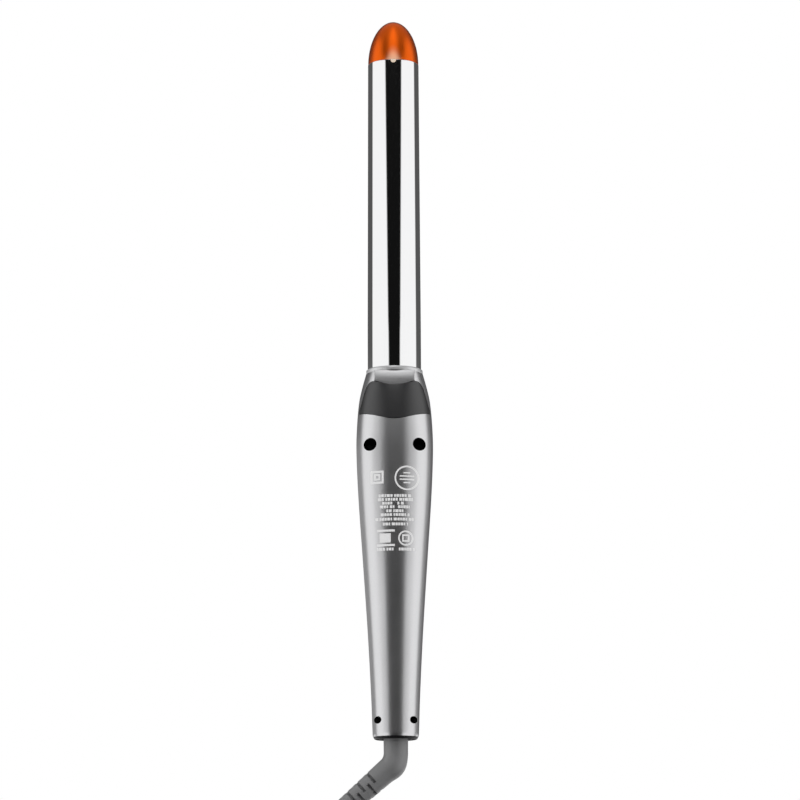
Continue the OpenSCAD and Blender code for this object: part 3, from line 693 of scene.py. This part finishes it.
def make_rings():
    """The collar under the barrel and the dark ring at the tail."""
    z = SHELL_TO
    neck = revolve("neck_ring_piece",
                   [(12.78, z + 0.05), (13.35, z + 0.05)] + arc(13.22, z + 0.45, 0.25, -30, 0, 4)
                   + arc(13.1, z + 1.5, 0.36, 0, 60, 6) + [(12.95, z + 2.0), (12.78, z + 2.2)])
    # The collar takes the lighter copy of the silver paint as a painted highlight; its slot is silver_paint.
    place(neck, "collar_highlight_paint", "handle", "neck_ring", slot="silver_paint")
    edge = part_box("tail_ring")[1][0] / MM
    tail = revolve("tail_ring_piece",
                   [(5.86, -0.25), (7.6, -0.35), (7.9, -0.58)] + arc(edge - 1.15, 0.55, 1.15, -90, 0, 12)
                   + [(edge - 0.05, SHELL_FROM - 0.03), (8.0, SHELL_FROM), (8.0, 3.5), (5.86, 3.5)])
    place(tail, "dark_plastic", "handle", "tail_ring")


def make_barrel():
    """The barrel, with close rows of points at its top edge that keep the reflections straight."""
    top_rows = BARREL_TOP - np.array([0.3, 0.2, 0.1])
    zs = np.concatenate([[169], np.linspace(176, BARREL_TOP - 1, 60), top_rows])
    outer = [(barrel_radius(z), z) for z in zs] + [(BARREL_TIP_R - 0.05, BARREL_TOP - 0.02),
                                                   (BARREL_TIP_R - 0.25, BARREL_TOP)]
    inner = [(BARREL_TIP_R - 0.8, BARREL_TOP), (BARREL_R - 0.8, 169)]
    barrel = revolve("barrel_piece", outer + inner, 256)
    slot_z = (BARREL_TOP - 1.6, BARREL_TOP + 2)
    cut(barrel, rounded_block("key_slot", (-1.35, 1.35), (-14, -9), slot_z, 1.2))
    place(barrel, "chrome", "handle", "barrel_tube")


def make_cap():
    """The hollow cool tip, and the pale tab that shows in a slot of the barrel."""
    angles = np.radians(np.linspace(0, 90, 60))
    top, inside = BARREL_TOP + CAP_LEN, CAP_LEN - 2.2
    outer = [(CAP_R - 0.15, BARREL_TOP + 0.02), (CAP_R - 0.02, BARREL_TOP + 0.15)]
    outer += [(CAP_R * math.cos(a), BARREL_TOP + 0.3 + (CAP_LEN - 0.3) * math.sin(a)) for a in angles[1:-1]]
    inner = [(10.2 * math.cos(a), BARREL_TOP + 0.02 + inside * math.sin(a)) for a in angles[::-4][1:]]
    profile = [*outer, (0.001, top), (0.001, BARREL_TOP + inside), *inner]
    cap = revolve("cool_tip_piece", profile)
    key = rounded_block("key", (-1.2, 1.2), (-12.06, -11.3), (BARREL_TOP - 1.45, BARREL_TOP + 1.2), 1.0)
    rounded(key, 0.15)
    key.name = "cap_key_piece"
    # The key is drawn pale and glowing as a painted highlight; its slot is heat_plastic.
    place(key, "pale_key_highlight", "handle", slot="heat_plastic")
    place(cap, "orange_plastic", "handle", "cool_tip")


# ---- clamp

BLADE_FROM = 193.5
BLADE_TO = 319.0
BLADE_GAP = 0.3
BLADE_T = 0.8
PIVOT_Y = 18.4
PIVOT_Z = 182.0
CHEEK_X = 4.3
CHEEK_T = 1.1
EYE_R = 2.6
PIN_HOLE_R = 1.55
ARM_ANGLE = math.radians(17)
ARM = [(19.7, 187), (21.7, 180.8), (27.8, 160.8), (28.8, 161.2), (22.7, 181.2), (20.7, 187.2)]
LEVER_UNDER = np.array([[22.9, 174], [24.6, 169], [28.6, 158], [33.2, 145.5], [36.4, 137]])
LEVER_T = 3.4
LEVER_HALF_W = 8.4


def blade_grid(lift, rows=110, cols=49):
    """Grid of points on the barrel's front over the blade's outline, which is narrow at both ends."""
    z = BLADE_FROM + (BLADE_TO - BLADE_FROM) * np.sin(np.linspace(0, 0.5, rows) * math.pi)
    wide = 24 + 22 * smoothstep((z - BLADE_FROM) / 10.5)
    tip = np.clip((z - 306) / (BLADE_TO - 306), 0, 1)
    wide = np.radians(wide * np.sqrt(np.maximum(1 - tip**2, 0.0016)))
    t = wide[:, None] * np.linspace(1, -1, cols)
    r = (barrel_radius(z) + lift)[:, None]
    return at(r * np.sin(t), r * np.cos(t), z[:, None])


def smoothstep(t):
    t = np.clip(t, 0, 1)
    return t * t * (3 - 2 * t)


def pivot_rod(name, radius, x0, x1, sides=48):
    return rod(name, radius, (x0, PIVOT_Y, PIVOT_Z), (x1, PIVOT_Y, PIVOT_Z), sides)


def make_blade():
    """The curved blade with two cheeks, an eye on each for the pivot pin, a web and the lever's arm."""
    skin = slab("blade_skin", blade_grid(BLADE_GAP + BLADE_T), blade_grid(BLADE_GAP))
    rounded(skin, 0.18)
    pieces = [skin]
    cheek = [(16.4, 183), (20.6, 180.8), (20.2, 187), (15.6, 206), (12.9, 206), (12.9, 193.5), (14.6, 191.8)]
    for s in (-1, 1):
        x0, x1 = sorted((s * CHEEK_X, s * (CHEEK_X + CHEEK_T)))
        plate = rounded(prism_x("cheek", cheek, x0, x1), 0.2)
        pieces.append(cut(plate, pivot_rod("hole", PIN_HOLE_R, -9, 9)))
        eye = rounded(pivot_rod("eye", EYE_R, x0, x1, 64), 0.15)
        pieces.append(cut(eye, pivot_rod("hole", PIN_HOLE_R, x0 - 2, x1 + 2)))
    pieces.append(rounded(prism_x("web", [(19.4, 187), (20.2, 187), (15.6, 206), (14.8, 206)],
                                  -CHEEK_X - 0.5, CHEEK_X + 0.5), 0.15))
    pieces.append(rounded(prism_x("arm", ARM, -CHEEK_X, CHEEK_X), 0.2))
    blade = join("clamp_blade_piece", *pieces)
    place(blade, "chrome", "clamp", "clamp_blade")


def lever_half_width(z):
    """Half width of the thumb lever: a round end, straight sides, then a taper to the pivot."""
    end = np.sqrt(np.maximum(LEVER_HALF_W**2 - (z - 145) ** 2, 0.25))
    taper = LEVER_HALF_W - (LEVER_HALF_W - 5.6) * smoothstep((z - 155) / 21)
    return np.where(z < 145, end, taper)


def make_lever():
    """The thumb lever: dished along its middle, with ridges across its end."""
    z = 174 - 37.3 * np.sin(np.linspace(0, 0.5, 90) * math.pi)
    y = np.interp(z, LEVER_UNDER[::-1, 1], LEVER_UNDER[::-1, 0])
    kernel = np.ones(7) / 7
    y = np.convolve(np.pad(y, 3, mode="reflect", reflect_type="odd"), kernel, mode="valid")
    u = np.sin(np.linspace(-0.5, 0.5, 33) * math.pi)
    x = lever_half_width(z)[:, None] * u
    under = at(x, y[:, None], z[:, None])
    ridge = np.where((z > 140.5) & (z < 155.5), 0.5 - 0.5 * np.cos((z - 140.5) * 2 * math.pi / 2.5), 0)
    dish = 0.75 * (1 - u**2) * smoothstep((172 - z) / 12)[:, None]
    lift = LEVER_T - dish + 0.35 * ridge[:, None] * np.clip(1.25 - u**4 * 1.6, 0, 1) - 0.9 * u**8
    top = under + lift[:, :, None] * np.array([0, math.cos(ARM_ANGLE), math.sin(ARM_ANGLE)])
    lever = slab("clamp_lever_piece", top, under, math.radians(50))
    rounded(lever, 0.35, 3, math.radians(50))
    place(lever, "dark_plastic", "clamp", "clamp_lever")
    down = (0, -math.cos(ARM_ANGLE), -math.sin(ARM_ANGLE))
    screws = []
    for d in (6, 13):
        spot = np.array([0, 28.3 - d * math.sin(ARM_ANGLE), 161 + d * math.cos(ARM_ANGLE)])
        screws.append(pan_screw(spot + 2.4 * np.array(down), down, 2.0, 1.0, 1.05, 3.6))
    screws = join("lever_screws_piece", *screws)
    place(screws, "steel", "clamp", "lever_screws")


def make_spring():
    """The torsion spring round the pivot pin, with a short leg below and a longer one inwards."""
    turns, r, half = 5.25, 2.2, 3.4
    a = np.linspace(0, turns * 2 * math.pi, 220)
    coil = at(-half + 2 * half * a / a[-1], PIVOT_Y + r * np.cos(a), PIVOT_Z + r * np.sin(a))
    leg_in = [(-half, PIVOT_Y + r - 0.5, PIVOT_Z - 3.4), (-half, PIVOT_Y + r, PIVOT_Z - 1.7)]
    leg_out = [(half, PIVOT_Y - 2, PIVOT_Z + r + 0.1), (half, PIVOT_Y - 4.2, PIVOT_Z + r + 0.4)]
    spring = tube("clamp_spring_piece", np.concatenate([leg_in, coil, leg_out]), 0.4, 14)
    place(spring, "steel", "handle", "clamp_spring")


# ---- swivel, strain relief

RELIEF_ANGLE = math.radians(48.5)
CORNER_Z = -11.2
ELBOW_R = 10.0
RELIEF_LEN = 45.0
RELIEF_DIR = np.array([-math.sin(RELIEF_ANGLE), 0, -math.cos(RELIEF_ANGLE)])
RELIEF_END = np.array([0, 0, CORNER_Z]) + RELIEF_LEN * RELIEF_DIR


def relief_path(step=0.2):
    """Centre line of the elbow and strain relief."""
    tangent = ELBOW_R * math.tan(RELIEF_ANGLE / 2)
    neck_z = CORNER_Z + tangent
    straight = [(0, 0, z) for z in np.arange(0.45, neck_z, -step)]
    bend = [(-ELBOW_R + ELBOW_R * math.cos(a), 0, neck_z - ELBOW_R * math.sin(a))
            for a in np.arange(0, RELIEF_ANGLE, step / ELBOW_R)]
    corner = np.array([0, 0, CORNER_Z])
    end = [tuple(corner + s * RELIEF_DIR) for s in np.arange(tangent, RELIEF_LEN + 0.01, step)]
    return np.array(straight + bend + end)


def make_relief():
    """The elbow, with rows of slots that take turns from side to side along its second half."""
    path = relief_path()
    lengths = np.concatenate([[0], np.cumsum(np.linalg.norm(np.diff(path, axis=0), axis=1))])
    along = lengths - (lengths[-1] - RELIEF_LEN)
    radius = np.interp(along, [-12, 0, 12, RELIEF_LEN - 1.2, RELIEF_LEN], [5.78, 5.65, 5.35, 4.5, 4.1])
    heel = 0.38 * np.exp(-((along - 2.2) / 3.2) ** 2)
    radius = radius + heel
    outwards = np.array([math.cos(RELIEF_ANGLE / 2), 0, -math.sin(RELIEF_ANGLE / 2)])
    path = path + heel[:, None] * outwards
    sides = 144
    theta = circle(sides)
    pitch, first, depth, slots = 3.2, 13.7, 1.9, 9
    radii = np.repeat(radius[:, None], sides, axis=1)
    for around, s in zip(radii, along):
        level = int(round((s - first) / pitch))
        if 0 <= level < slots:
            near = np.clip((0.62 - abs(s - first - level * pitch)) / 0.12, 0, 1)
            turned_by = theta - (level % 2) * math.pi / 2 - math.pi / 4
            reach = np.abs(np.mod(turned_by + math.pi / 2, math.pi) - math.pi / 2)
            around -= depth * near * np.clip((math.radians(56) - reach) / 0.08, 0, 1)
    relief = tube("strain_relief_piece", path, radii, sides, math.radians(40))
    place(relief, "cord_rubber", "cord", "strain_relief")


# ---- cord, tie, plug

CORD_D = 6.0
HANK_X = -32.0
FOLD_TOP = -143.4
FOLD_BOTTOM = -238.6
TIE_Z = -191.0
LANE_IN = 18.2
LANE_OUT = 24.3
LAYER = 6.1
WAIST = 15.1
PLUG_X = -43.7
PLUG_Y = -11.2
PLUG_TOP = -172.0
PLUG_LEN = 40.0
PIN_LEN = 19.0
PIN_SPACING = 19.0


def waist(z):
    """How far the hank's strands are drawn in towards its middle at height z."""
    return WAIST * (1 - smoothstep(np.abs(z - TIE_Z) / (FOLD_TOP - TIE_Z)))


def straight_run(side, lane, z, y):
    """One strand of the hank between its folds; side is -1 on the left and +1 on the right."""
    return at(HANK_X + side * (lane - waist(z)), y, z)


def fold(cx, r, cz, a0, a1, y0, y1, steps=26):
    """A half turn from angle a0 to a1, in degrees, that moves from layer y0 to y1 in its second half."""
    a = np.radians(np.linspace(a0, a1, steps))
    shift = smoothstep((np.linspace(0, 1, steps) - 0.5) * 2)
    return at(cx + r * np.cos(a), y0 + (y1 - y0) * shift, cz + r * np.sin(a))


def cord_points():
    """The cord's centre line: down from the relief, five turns of the hank, then to the plug."""
    lead = np.array([RELIEF_END - 6 * RELIEF_DIR, RELIEF_END, (-40, 0, -47.5), (-44, 0, -53),
                     (-47, 0, -59), (-49, 0, -66), (-50, 0, -74), (-50, 0, -88)])
    z = np.linspace(-96, FOLD_TOP + 3, 14)
    bow = -smoothstep((-105 - z) / 20)
    drop = at(np.interp(z, [FOLD_TOP, -126], [-50.2, -50]), bow, z)
    down = np.linspace(FOLD_TOP, FOLD_BOTTOM, 34)
    up = down[::-1]
    late = smoothstep((up + 203.4) / 60)
    bow_down = -(1 - smoothstep((-150 - down) / 25))
    parts = [lead, drop]
    turns = [(LANE_IN, 0, bow_down), (LANE_IN, LAYER, LAYER), (LANE_IN, 2 * LAYER, 2 * LAYER),
             (LANE_OUT, 2 * LAYER - LAYER * late, 2 * LAYER), (LANE_OUT, LAYER - 2 * LAYER * late, LAYER)]
    middle = (LANE_IN + LANE_OUT) / 2
    tops = [fold(HANK_X + aside, r, FOLD_TOP, 0, 180, y0, y1) for aside, r, y0, y1 in
            ((0, LANE_IN, 0, LAYER), (0, LANE_IN, LAYER, 2 * LAYER),
             (LANE_IN - middle, middle, 2 * LAYER, 2 * LAYER), (0, LANE_OUT, LAYER, LAYER))]
    for k, (lane, *depths) in enumerate(turns):
        y_up, y_down, _ = np.broadcast_arrays(*depths, up)
        parts.append(straight_run(-1, lane, down, y_down))
        bottom = fold(HANK_X, lane, FOLD_BOTTOM, 180, 360, y_down[-1], y_up[0])
        parts.append(bottom[1:-1])
        parts.append(straight_run(1, lane, up, y_up))
        if k < len(tops):
            parts.append(tops[k][1:-1])
    a = np.radians(np.linspace(0, 180, 30))[1:]
    parts.append(at(-25.7 + 18 * np.cos(a), -8.65 + 2.55 * np.cos(a), FOLD_TOP + 18.2 * np.sin(a)))
    parts.append(np.array([(PLUG_X, PLUG_Y, z) for z in (-150, -157, -164, -171, -177)], dtype=float))
    return np.concatenate(parts)


def make_cord():
    """The mains cord as a curve with its own thickness."""
    points = row(cord_points())
    data = bpy.data.curves.new("mains_cord", "CURVE")
    data.dimensions = "3D"
    data.bevel_depth = CORD_D / 2 * MM
    data.bevel_resolution = 6
    data.use_fill_caps = True
    spline = data.splines.new("POLY")
    spline.points.add(len(points) - 1)
    for target, p in zip(spline.points, points):
        target.co = (*p, 1.0)
    spline.use_smooth = True
    cord = bpy.data.objects.new("mains_cord", data)
    bpy.context.collection.objects.link(cord)
    place(cord, "cord_rubber", "cord", "cord_tube", "cord_hank", "cord_tail")
    return cord


def strand_centres():
    """Where the hank's ten strands cross the tie's height, as (x, y)."""
    left = [(HANK_X - (LANE_IN - WAIST), k * LAYER) for k in (0, 1, 2)]
    left += [(HANK_X - (LANE_OUT - WAIST), k * LAYER) for k in (1, 2)]
    return np.array(left + [(2 * HANK_X - x, y) for x, y in left])


def hull_ring(angles, r):
    """Points where a band at distance r from the strands' centres would lie, one for each angle."""
    centres = strand_centres()
    directions = np.stack([np.cos(angles), np.sin(angles)], axis=1)
    nearest = centres[np.argmax(directions @ centres.T, axis=1)]
    return nearest + r * directions


def strap(name, angles, r0, r1, closed):
    """A band of the tie's height between two distances from the strands, with softened edges."""
    half, soft = 4.0, 0.22
    profile = [(r0, -half), (r0, half), (r1 - soft, half), (r1, half - soft), (r1, soft - half),
               (r1 - soft, -half)]
    rings = [at(*hull_ring(angles, r).T, TIE_Z + dz) for r, dz in [*profile, profile[0]]]
    faces = grid_faces(len(rings), len(angles), around=closed)
    if not closed:
        n = len(angles)
        faces += [tuple(k * n for k in range(6)), tuple(k * n + n - 1 for k in range(5, -1, -1))]
    return mesh_object(name, np.concatenate(rings), faces)


def make_tie():
    """A strap round the hank, with its loose end lapped over it."""
    whole = np.linspace(0, 2 * math.pi, 144, endpoint=False)
    lap = np.radians(np.linspace(-38, 75, 48))
    tie = join("hank_tie_piece", strap("band", whole, 3.05, 4.15, True),
               strap("lap", lap, 4.17, 5.15, False))
    place(tie, "tie_plastic", "cord", "hank_tie")
    return tie


def make_plug():
    """A flat two-pin plug: a rounded grip with a waist, a ribbed neck, two sleeved round pins."""
    sections = [(0, 15.0, 5.6), (0.4, 15.6, 6.15), (1.2, 15.85, 6.4), (5, 15.6, 6.4), (10, 15.1, 6.25),
                (15, 15.2, 6.3), (19, 15.0, 6.4), (21.5, 13.4, 6.4), (23.5, 10.6, 6.2), (25.5, 8.0, 5.9),
                (27.5, 6.6, 5.6)]
    for k in range(5):
        low = 28.3 + 2.4 * k
        r = 5.6 - 0.25 * k
        sections += [(low, r, r * 0.97), (low + 0.15, r - 0.7, r - 0.7), (low + 0.95, r - 0.75, r - 0.75),
                     (low + 1.1, r - 0.1, r - 0.15)]
    sections += [(39.7, 4.3, 4.3), (PLUG_LEN, 3.9, 3.9)]
    face_z = PLUG_TOP - PLUG_LEN
    sides = 96
    c, s = np.cos(circle(sides)), np.sin(circle(sides))
    rings = []
    for z, a, b in sections:
        power = 2 / (2 + 2.6 * smoothstep((27.0 - z) / 8))
        x = PLUG_X + a * np.sign(c) * np.abs(c) ** power
        y = PLUG_Y + b * np.sign(s) * np.abs(s) ** power
        rings.append(at(x, y, face_z + z))
    plug = sleeve("plug_body_piece", rings, True)
    sleeves, pins = [], []
    for s in (-1, 1):
        centre = (PLUG_X + s * PIN_SPACING / 2, PLUG_Y)
        sleeves.append(revolve("sleeve", [(1.6, face_z + 1), (2.0, face_z + 1), (2.0, face_z - 9.8),
                                          (1.9, face_z - 10), (1.6, face_z - 10)], 40, centre))
        end = face_z - PIN_LEN
        tip = [(2.0 * math.cos(a), end + 1.6 - 1.6 * math.sin(a)) for a in np.radians([0, 25, 50, 75])]
        pins.append(revolve("pin", [(0.001, face_z + 7.5), (1.58, face_z + 7.5), (1.58, face_z - 10.02),
                                    (2.0, face_z - 10.05)] + tip + [(0.001, end)], 40, centre))
    plug = join("plug_body_piece", plug, *sleeves)
    pins = join("plug_pins_piece", *pins)
    place(plug, "plug_rubber", "cord", "plug_body")
    place(pins, "brass_plated", "cord", "plug_pins")
    return plug, pins


def make_cord_set():
    cord = make_cord()
    tie = make_tie()
    plug, pins = make_plug()


# ---- marks on the back

DASHES = (0.9, 1.3, 0.7, 1.5, 1.0, 0.8, 1.2, 0.7, 1.1)
LINE_HIGH = 1.3
MARK_T = 0.03
MARK_ROOT = 0.08


def mark(x0, x1, z0, z1):
    """A thin closed plate on the handle's back between two heights and two distances across."""
    cols = max(2, int((x1 - x0) / 0.5) + 2)
    rows = max(2, int((z1 - z0) / 1.5) + 2)
    x = np.linspace(x0, x1, cols)
    z = np.linspace(z0, z1, rows)[:, None]
    return slab("mark", on_back(x, z, MARK_T), on_back(x, z, -MARK_ROOT))


def line_of_dashes(x0, x1, z, start=0):
    """A line of short upright dashes with gaps, in place of writing; it says nothing."""
    marks, x, k = [], x0, start
    while x < x1 - 0.4:
        length = DASHES[k % len(DASHES)]
        marks.append(mark(x, min(x + length, x1), z - LINE_HIGH / 2, z + LINE_HIGH / 2))
        x += length + (0.75 if k % 5 == 4 else 0.28)
        k += 1
    return marks


def frame_marks(cx, cz, half, t):
    """Four bars that make a square outline."""
    left, right, low, high = cx - half, cx + half, cz - half, cz + half
    return [mark(left, right, high - t, high), mark(left, right, low, low + t),
            mark(left, left + t, low + t, high - t), mark(right - t, right, low + t, high - t)]


def ring_mark(cx, cz, r, t, n=72):
    """A flat ring on the handle's back."""
    angles = circle(n)
    profile = ((r, MARK_T), (r - t, MARK_T), (r - t, -MARK_ROOT), (r, -MARK_ROOT), (r, MARK_T))
    return sleeve("mark", [on_back(cx + radius * np.cos(angles), cz + radius * np.sin(angles), out)
                           for radius, out in profile])


def make_marks():
    """Rows of dashes, a square in a square, a ring with bars, and two plain tiles."""
    marks = []
    lines = [(-7.6, 7.9, 112.7), (-8, 8.6, 110.9), (-6, -0.7, 109.1), (1.2, 4.4, 109.1), (-7, -0.1, 107.4),
             (1.5, 7, 107.4), (-4, 4, 105.5), (-6.7, 6.8, 103.7), (-9.1, 9.4, 101.6), (-5.7, 6.1, 99.3)]
    for k, (x0, x1, z) in enumerate(lines):
        marks += line_of_dashes(x0, x1, z, 3 * k)
    marks += frame_marks(-8.3, 121.55, 3.05, 0.95) + frame_marks(-8.3, 121.55, 1.45, 0.75)
    marks.append(ring_mark(5.7, 121.1, 5.8, 0.75))
    for k, half in enumerate((1.6, 3.4, 3.4, 1.6)):
        marks.append(mark(5.7 - half, 5.7 + half, 123.2 - 1.55 * k, 123.8 - 1.55 * k))
    marks += [mark(-8.5, -0.1, 95.7, 96.7), mark(-8.5, -0.1, 88.9, 89.9), mark(-7.2, -2.0, 90.6, 94.9)]
    marks += line_of_dashes(-8.5, -0.1, 87.5, 2)
    marks.append(ring_mark(5.05, 92.7, 3.55, 0.7))
    marks += frame_marks(5.05, 92.7, 1.7, 0.7)
    marks += line_of_dashes(1.8, 9.1, 87.5, 5)
    piece = join("back_marks", *marks)
    # The print's faint glow is a painted highlight.
    place(piece, "print_white", "handle", slot=NO_SLOT)


# ---- light

def side_walls(g, azimuth, height):
    """A wall of light on each side, whose near edge bends away from the middle with height."""
    above = g.math("MAXIMUM", g.math("SUBTRACT", height, 10.5), 0.0)
    below = g.math("MAXIMUM", g.math("SUBTRACT", 9.5, height), 0.0)
    edge = g.math("MINIMUM", g.math("ADD", 23.5, g.math("MULTIPLY", above, 2.5)), 60.0)
    step = g.chain("MULTIPLY", g.smooth(height, 2.0, 5.0), g.smooth(height, 10.3, 8.3), 36.0)
    edge = g.chain("ADD", edge, g.math("MINIMUM", g.math("MULTIPLY", below, 1.4), 11.0), step)
    near = g.smooth(azimuth, g.math("SUBTRACT", edge, 3.0), g.math("ADD", edge, 3.0))
    return g.chain("MULTIPLY", near, g.smooth(azimuth, 113.0, 106.0), g.smooth(height, 52.0, 34.0),
                   g.smooth(height, -45.0, -25.0))


def rear_light(g, x, azimuth, height):
    """A dim wall behind the iron with a brighter band, and a panel low on each side of it."""
    rear = g.smooth(azimuth, 108.0, 116.0)
    reach = g.math("ADD", 133.0, g.math("MULTIPLY", g.smooth(x, 0.02, -0.02), 60.0))
    band = g.chain("MULTIPLY", rear, g.smooth(height, 1.0, 4.5), g.smooth(height, 11.0, 8.5),
                   g.smooth(azimuth, reach, g.math("SUBTRACT", reach, 6.0)), 0.25)
    low = g.chain("MULTIPLY", g.smooth(azimuth, 118.0, 126.0), g.smooth(azimuth, 172.0, 164.0),
                  g.smooth(height, 2.0, -6.0), g.smooth(height, -60.0, -45.0), 0.9)
    return g.chain("ADD", low, g.math("MULTIPLY", rear, 0.09), band)


def make_world():
    """White for the camera; for everything else a dark room with soft walls of light."""
    world = bpy.data.worlds.new("studio")
    bpy.context.scene.world = world
    world.use_nodes = True
    world.node_tree.nodes.clear()
    g = Graph(world.node_tree)
    direction = g.add("ShaderNodeTexCoord").outputs["Generated"]
    x, y, z = g.add("ShaderNodeSeparateXYZ", Vector=direction).outputs
    # Degrees from the side of the main camera, and degrees above the horizon.
    turn = g.math("ABSOLUTE", g.math("ARCTAN2", x, g.math("MULTIPLY", y, -1.0)))
    azimuth = g.math("MULTIPLY", turn, 180 / math.pi)
    height = g.math("MULTIPLY", g.math("ARCSINE", z), 180 / math.pi)
    top = g.math("MULTIPLY", g.smooth(height, 30.0, 60.0), 0.4)
    front = g.math("MULTIPLY", g.smooth(azimuth, 36.0, 12.0), g.smooth(height, 17.0, 19.5))
    light = g.chain("ADD", g.math("MAXIMUM", side_walls(g, azimuth, height), top), front,
                    rear_light(g, x, azimuth, height), 0.006)
    white = (1, 1, 1, 1)
    seen = g.add("ShaderNodeBackground", Strength=1.0, Color=white)
    lit = g.add("ShaderNodeBackground", Strength=light, Color=white)
    mix = g.add("ShaderNodeMixShader")
    camera_ray = g.add("ShaderNodeLightPath").outputs["Is Camera Ray"]
    for socket, source in zip(mix.inputs, (camera_ray, lit.outputs[0], seen.outputs[0])):
        g.links.new(source, socket)
    g.links.new(mix.outputs[0], g.add("ShaderNodeOutputWorld").inputs[0])


def dress_frame():
    """Materials and soft shading for the CAD nodes that show as they are."""
    slots = {s["node"]: s["material_slot"] for s in frame["record"]["subparts"]}
    for name, obj in frame["nodes"].items():
        obj.data.materials.clear()
        obj.data.materials.append(MATERIALS[slots[name]])
        for polygon in obj.data.polygons:
            polygon.use_smooth = True
        obj.data.set_sharp_from_angle(angle=SHARP)


def main():
    for make in (make_materials, make_camera, make_cord_set, dress_frame, make_rear_shell, make_front_shell,
                 make_screws, make_switch, make_stand, make_rings, make_barrel, make_cap, make_blade,
                 make_lever, make_spring, make_relief, make_marks, make_world):
        make()
    bpy.context.scene.view_settings.view_transform = "Standard"


main()
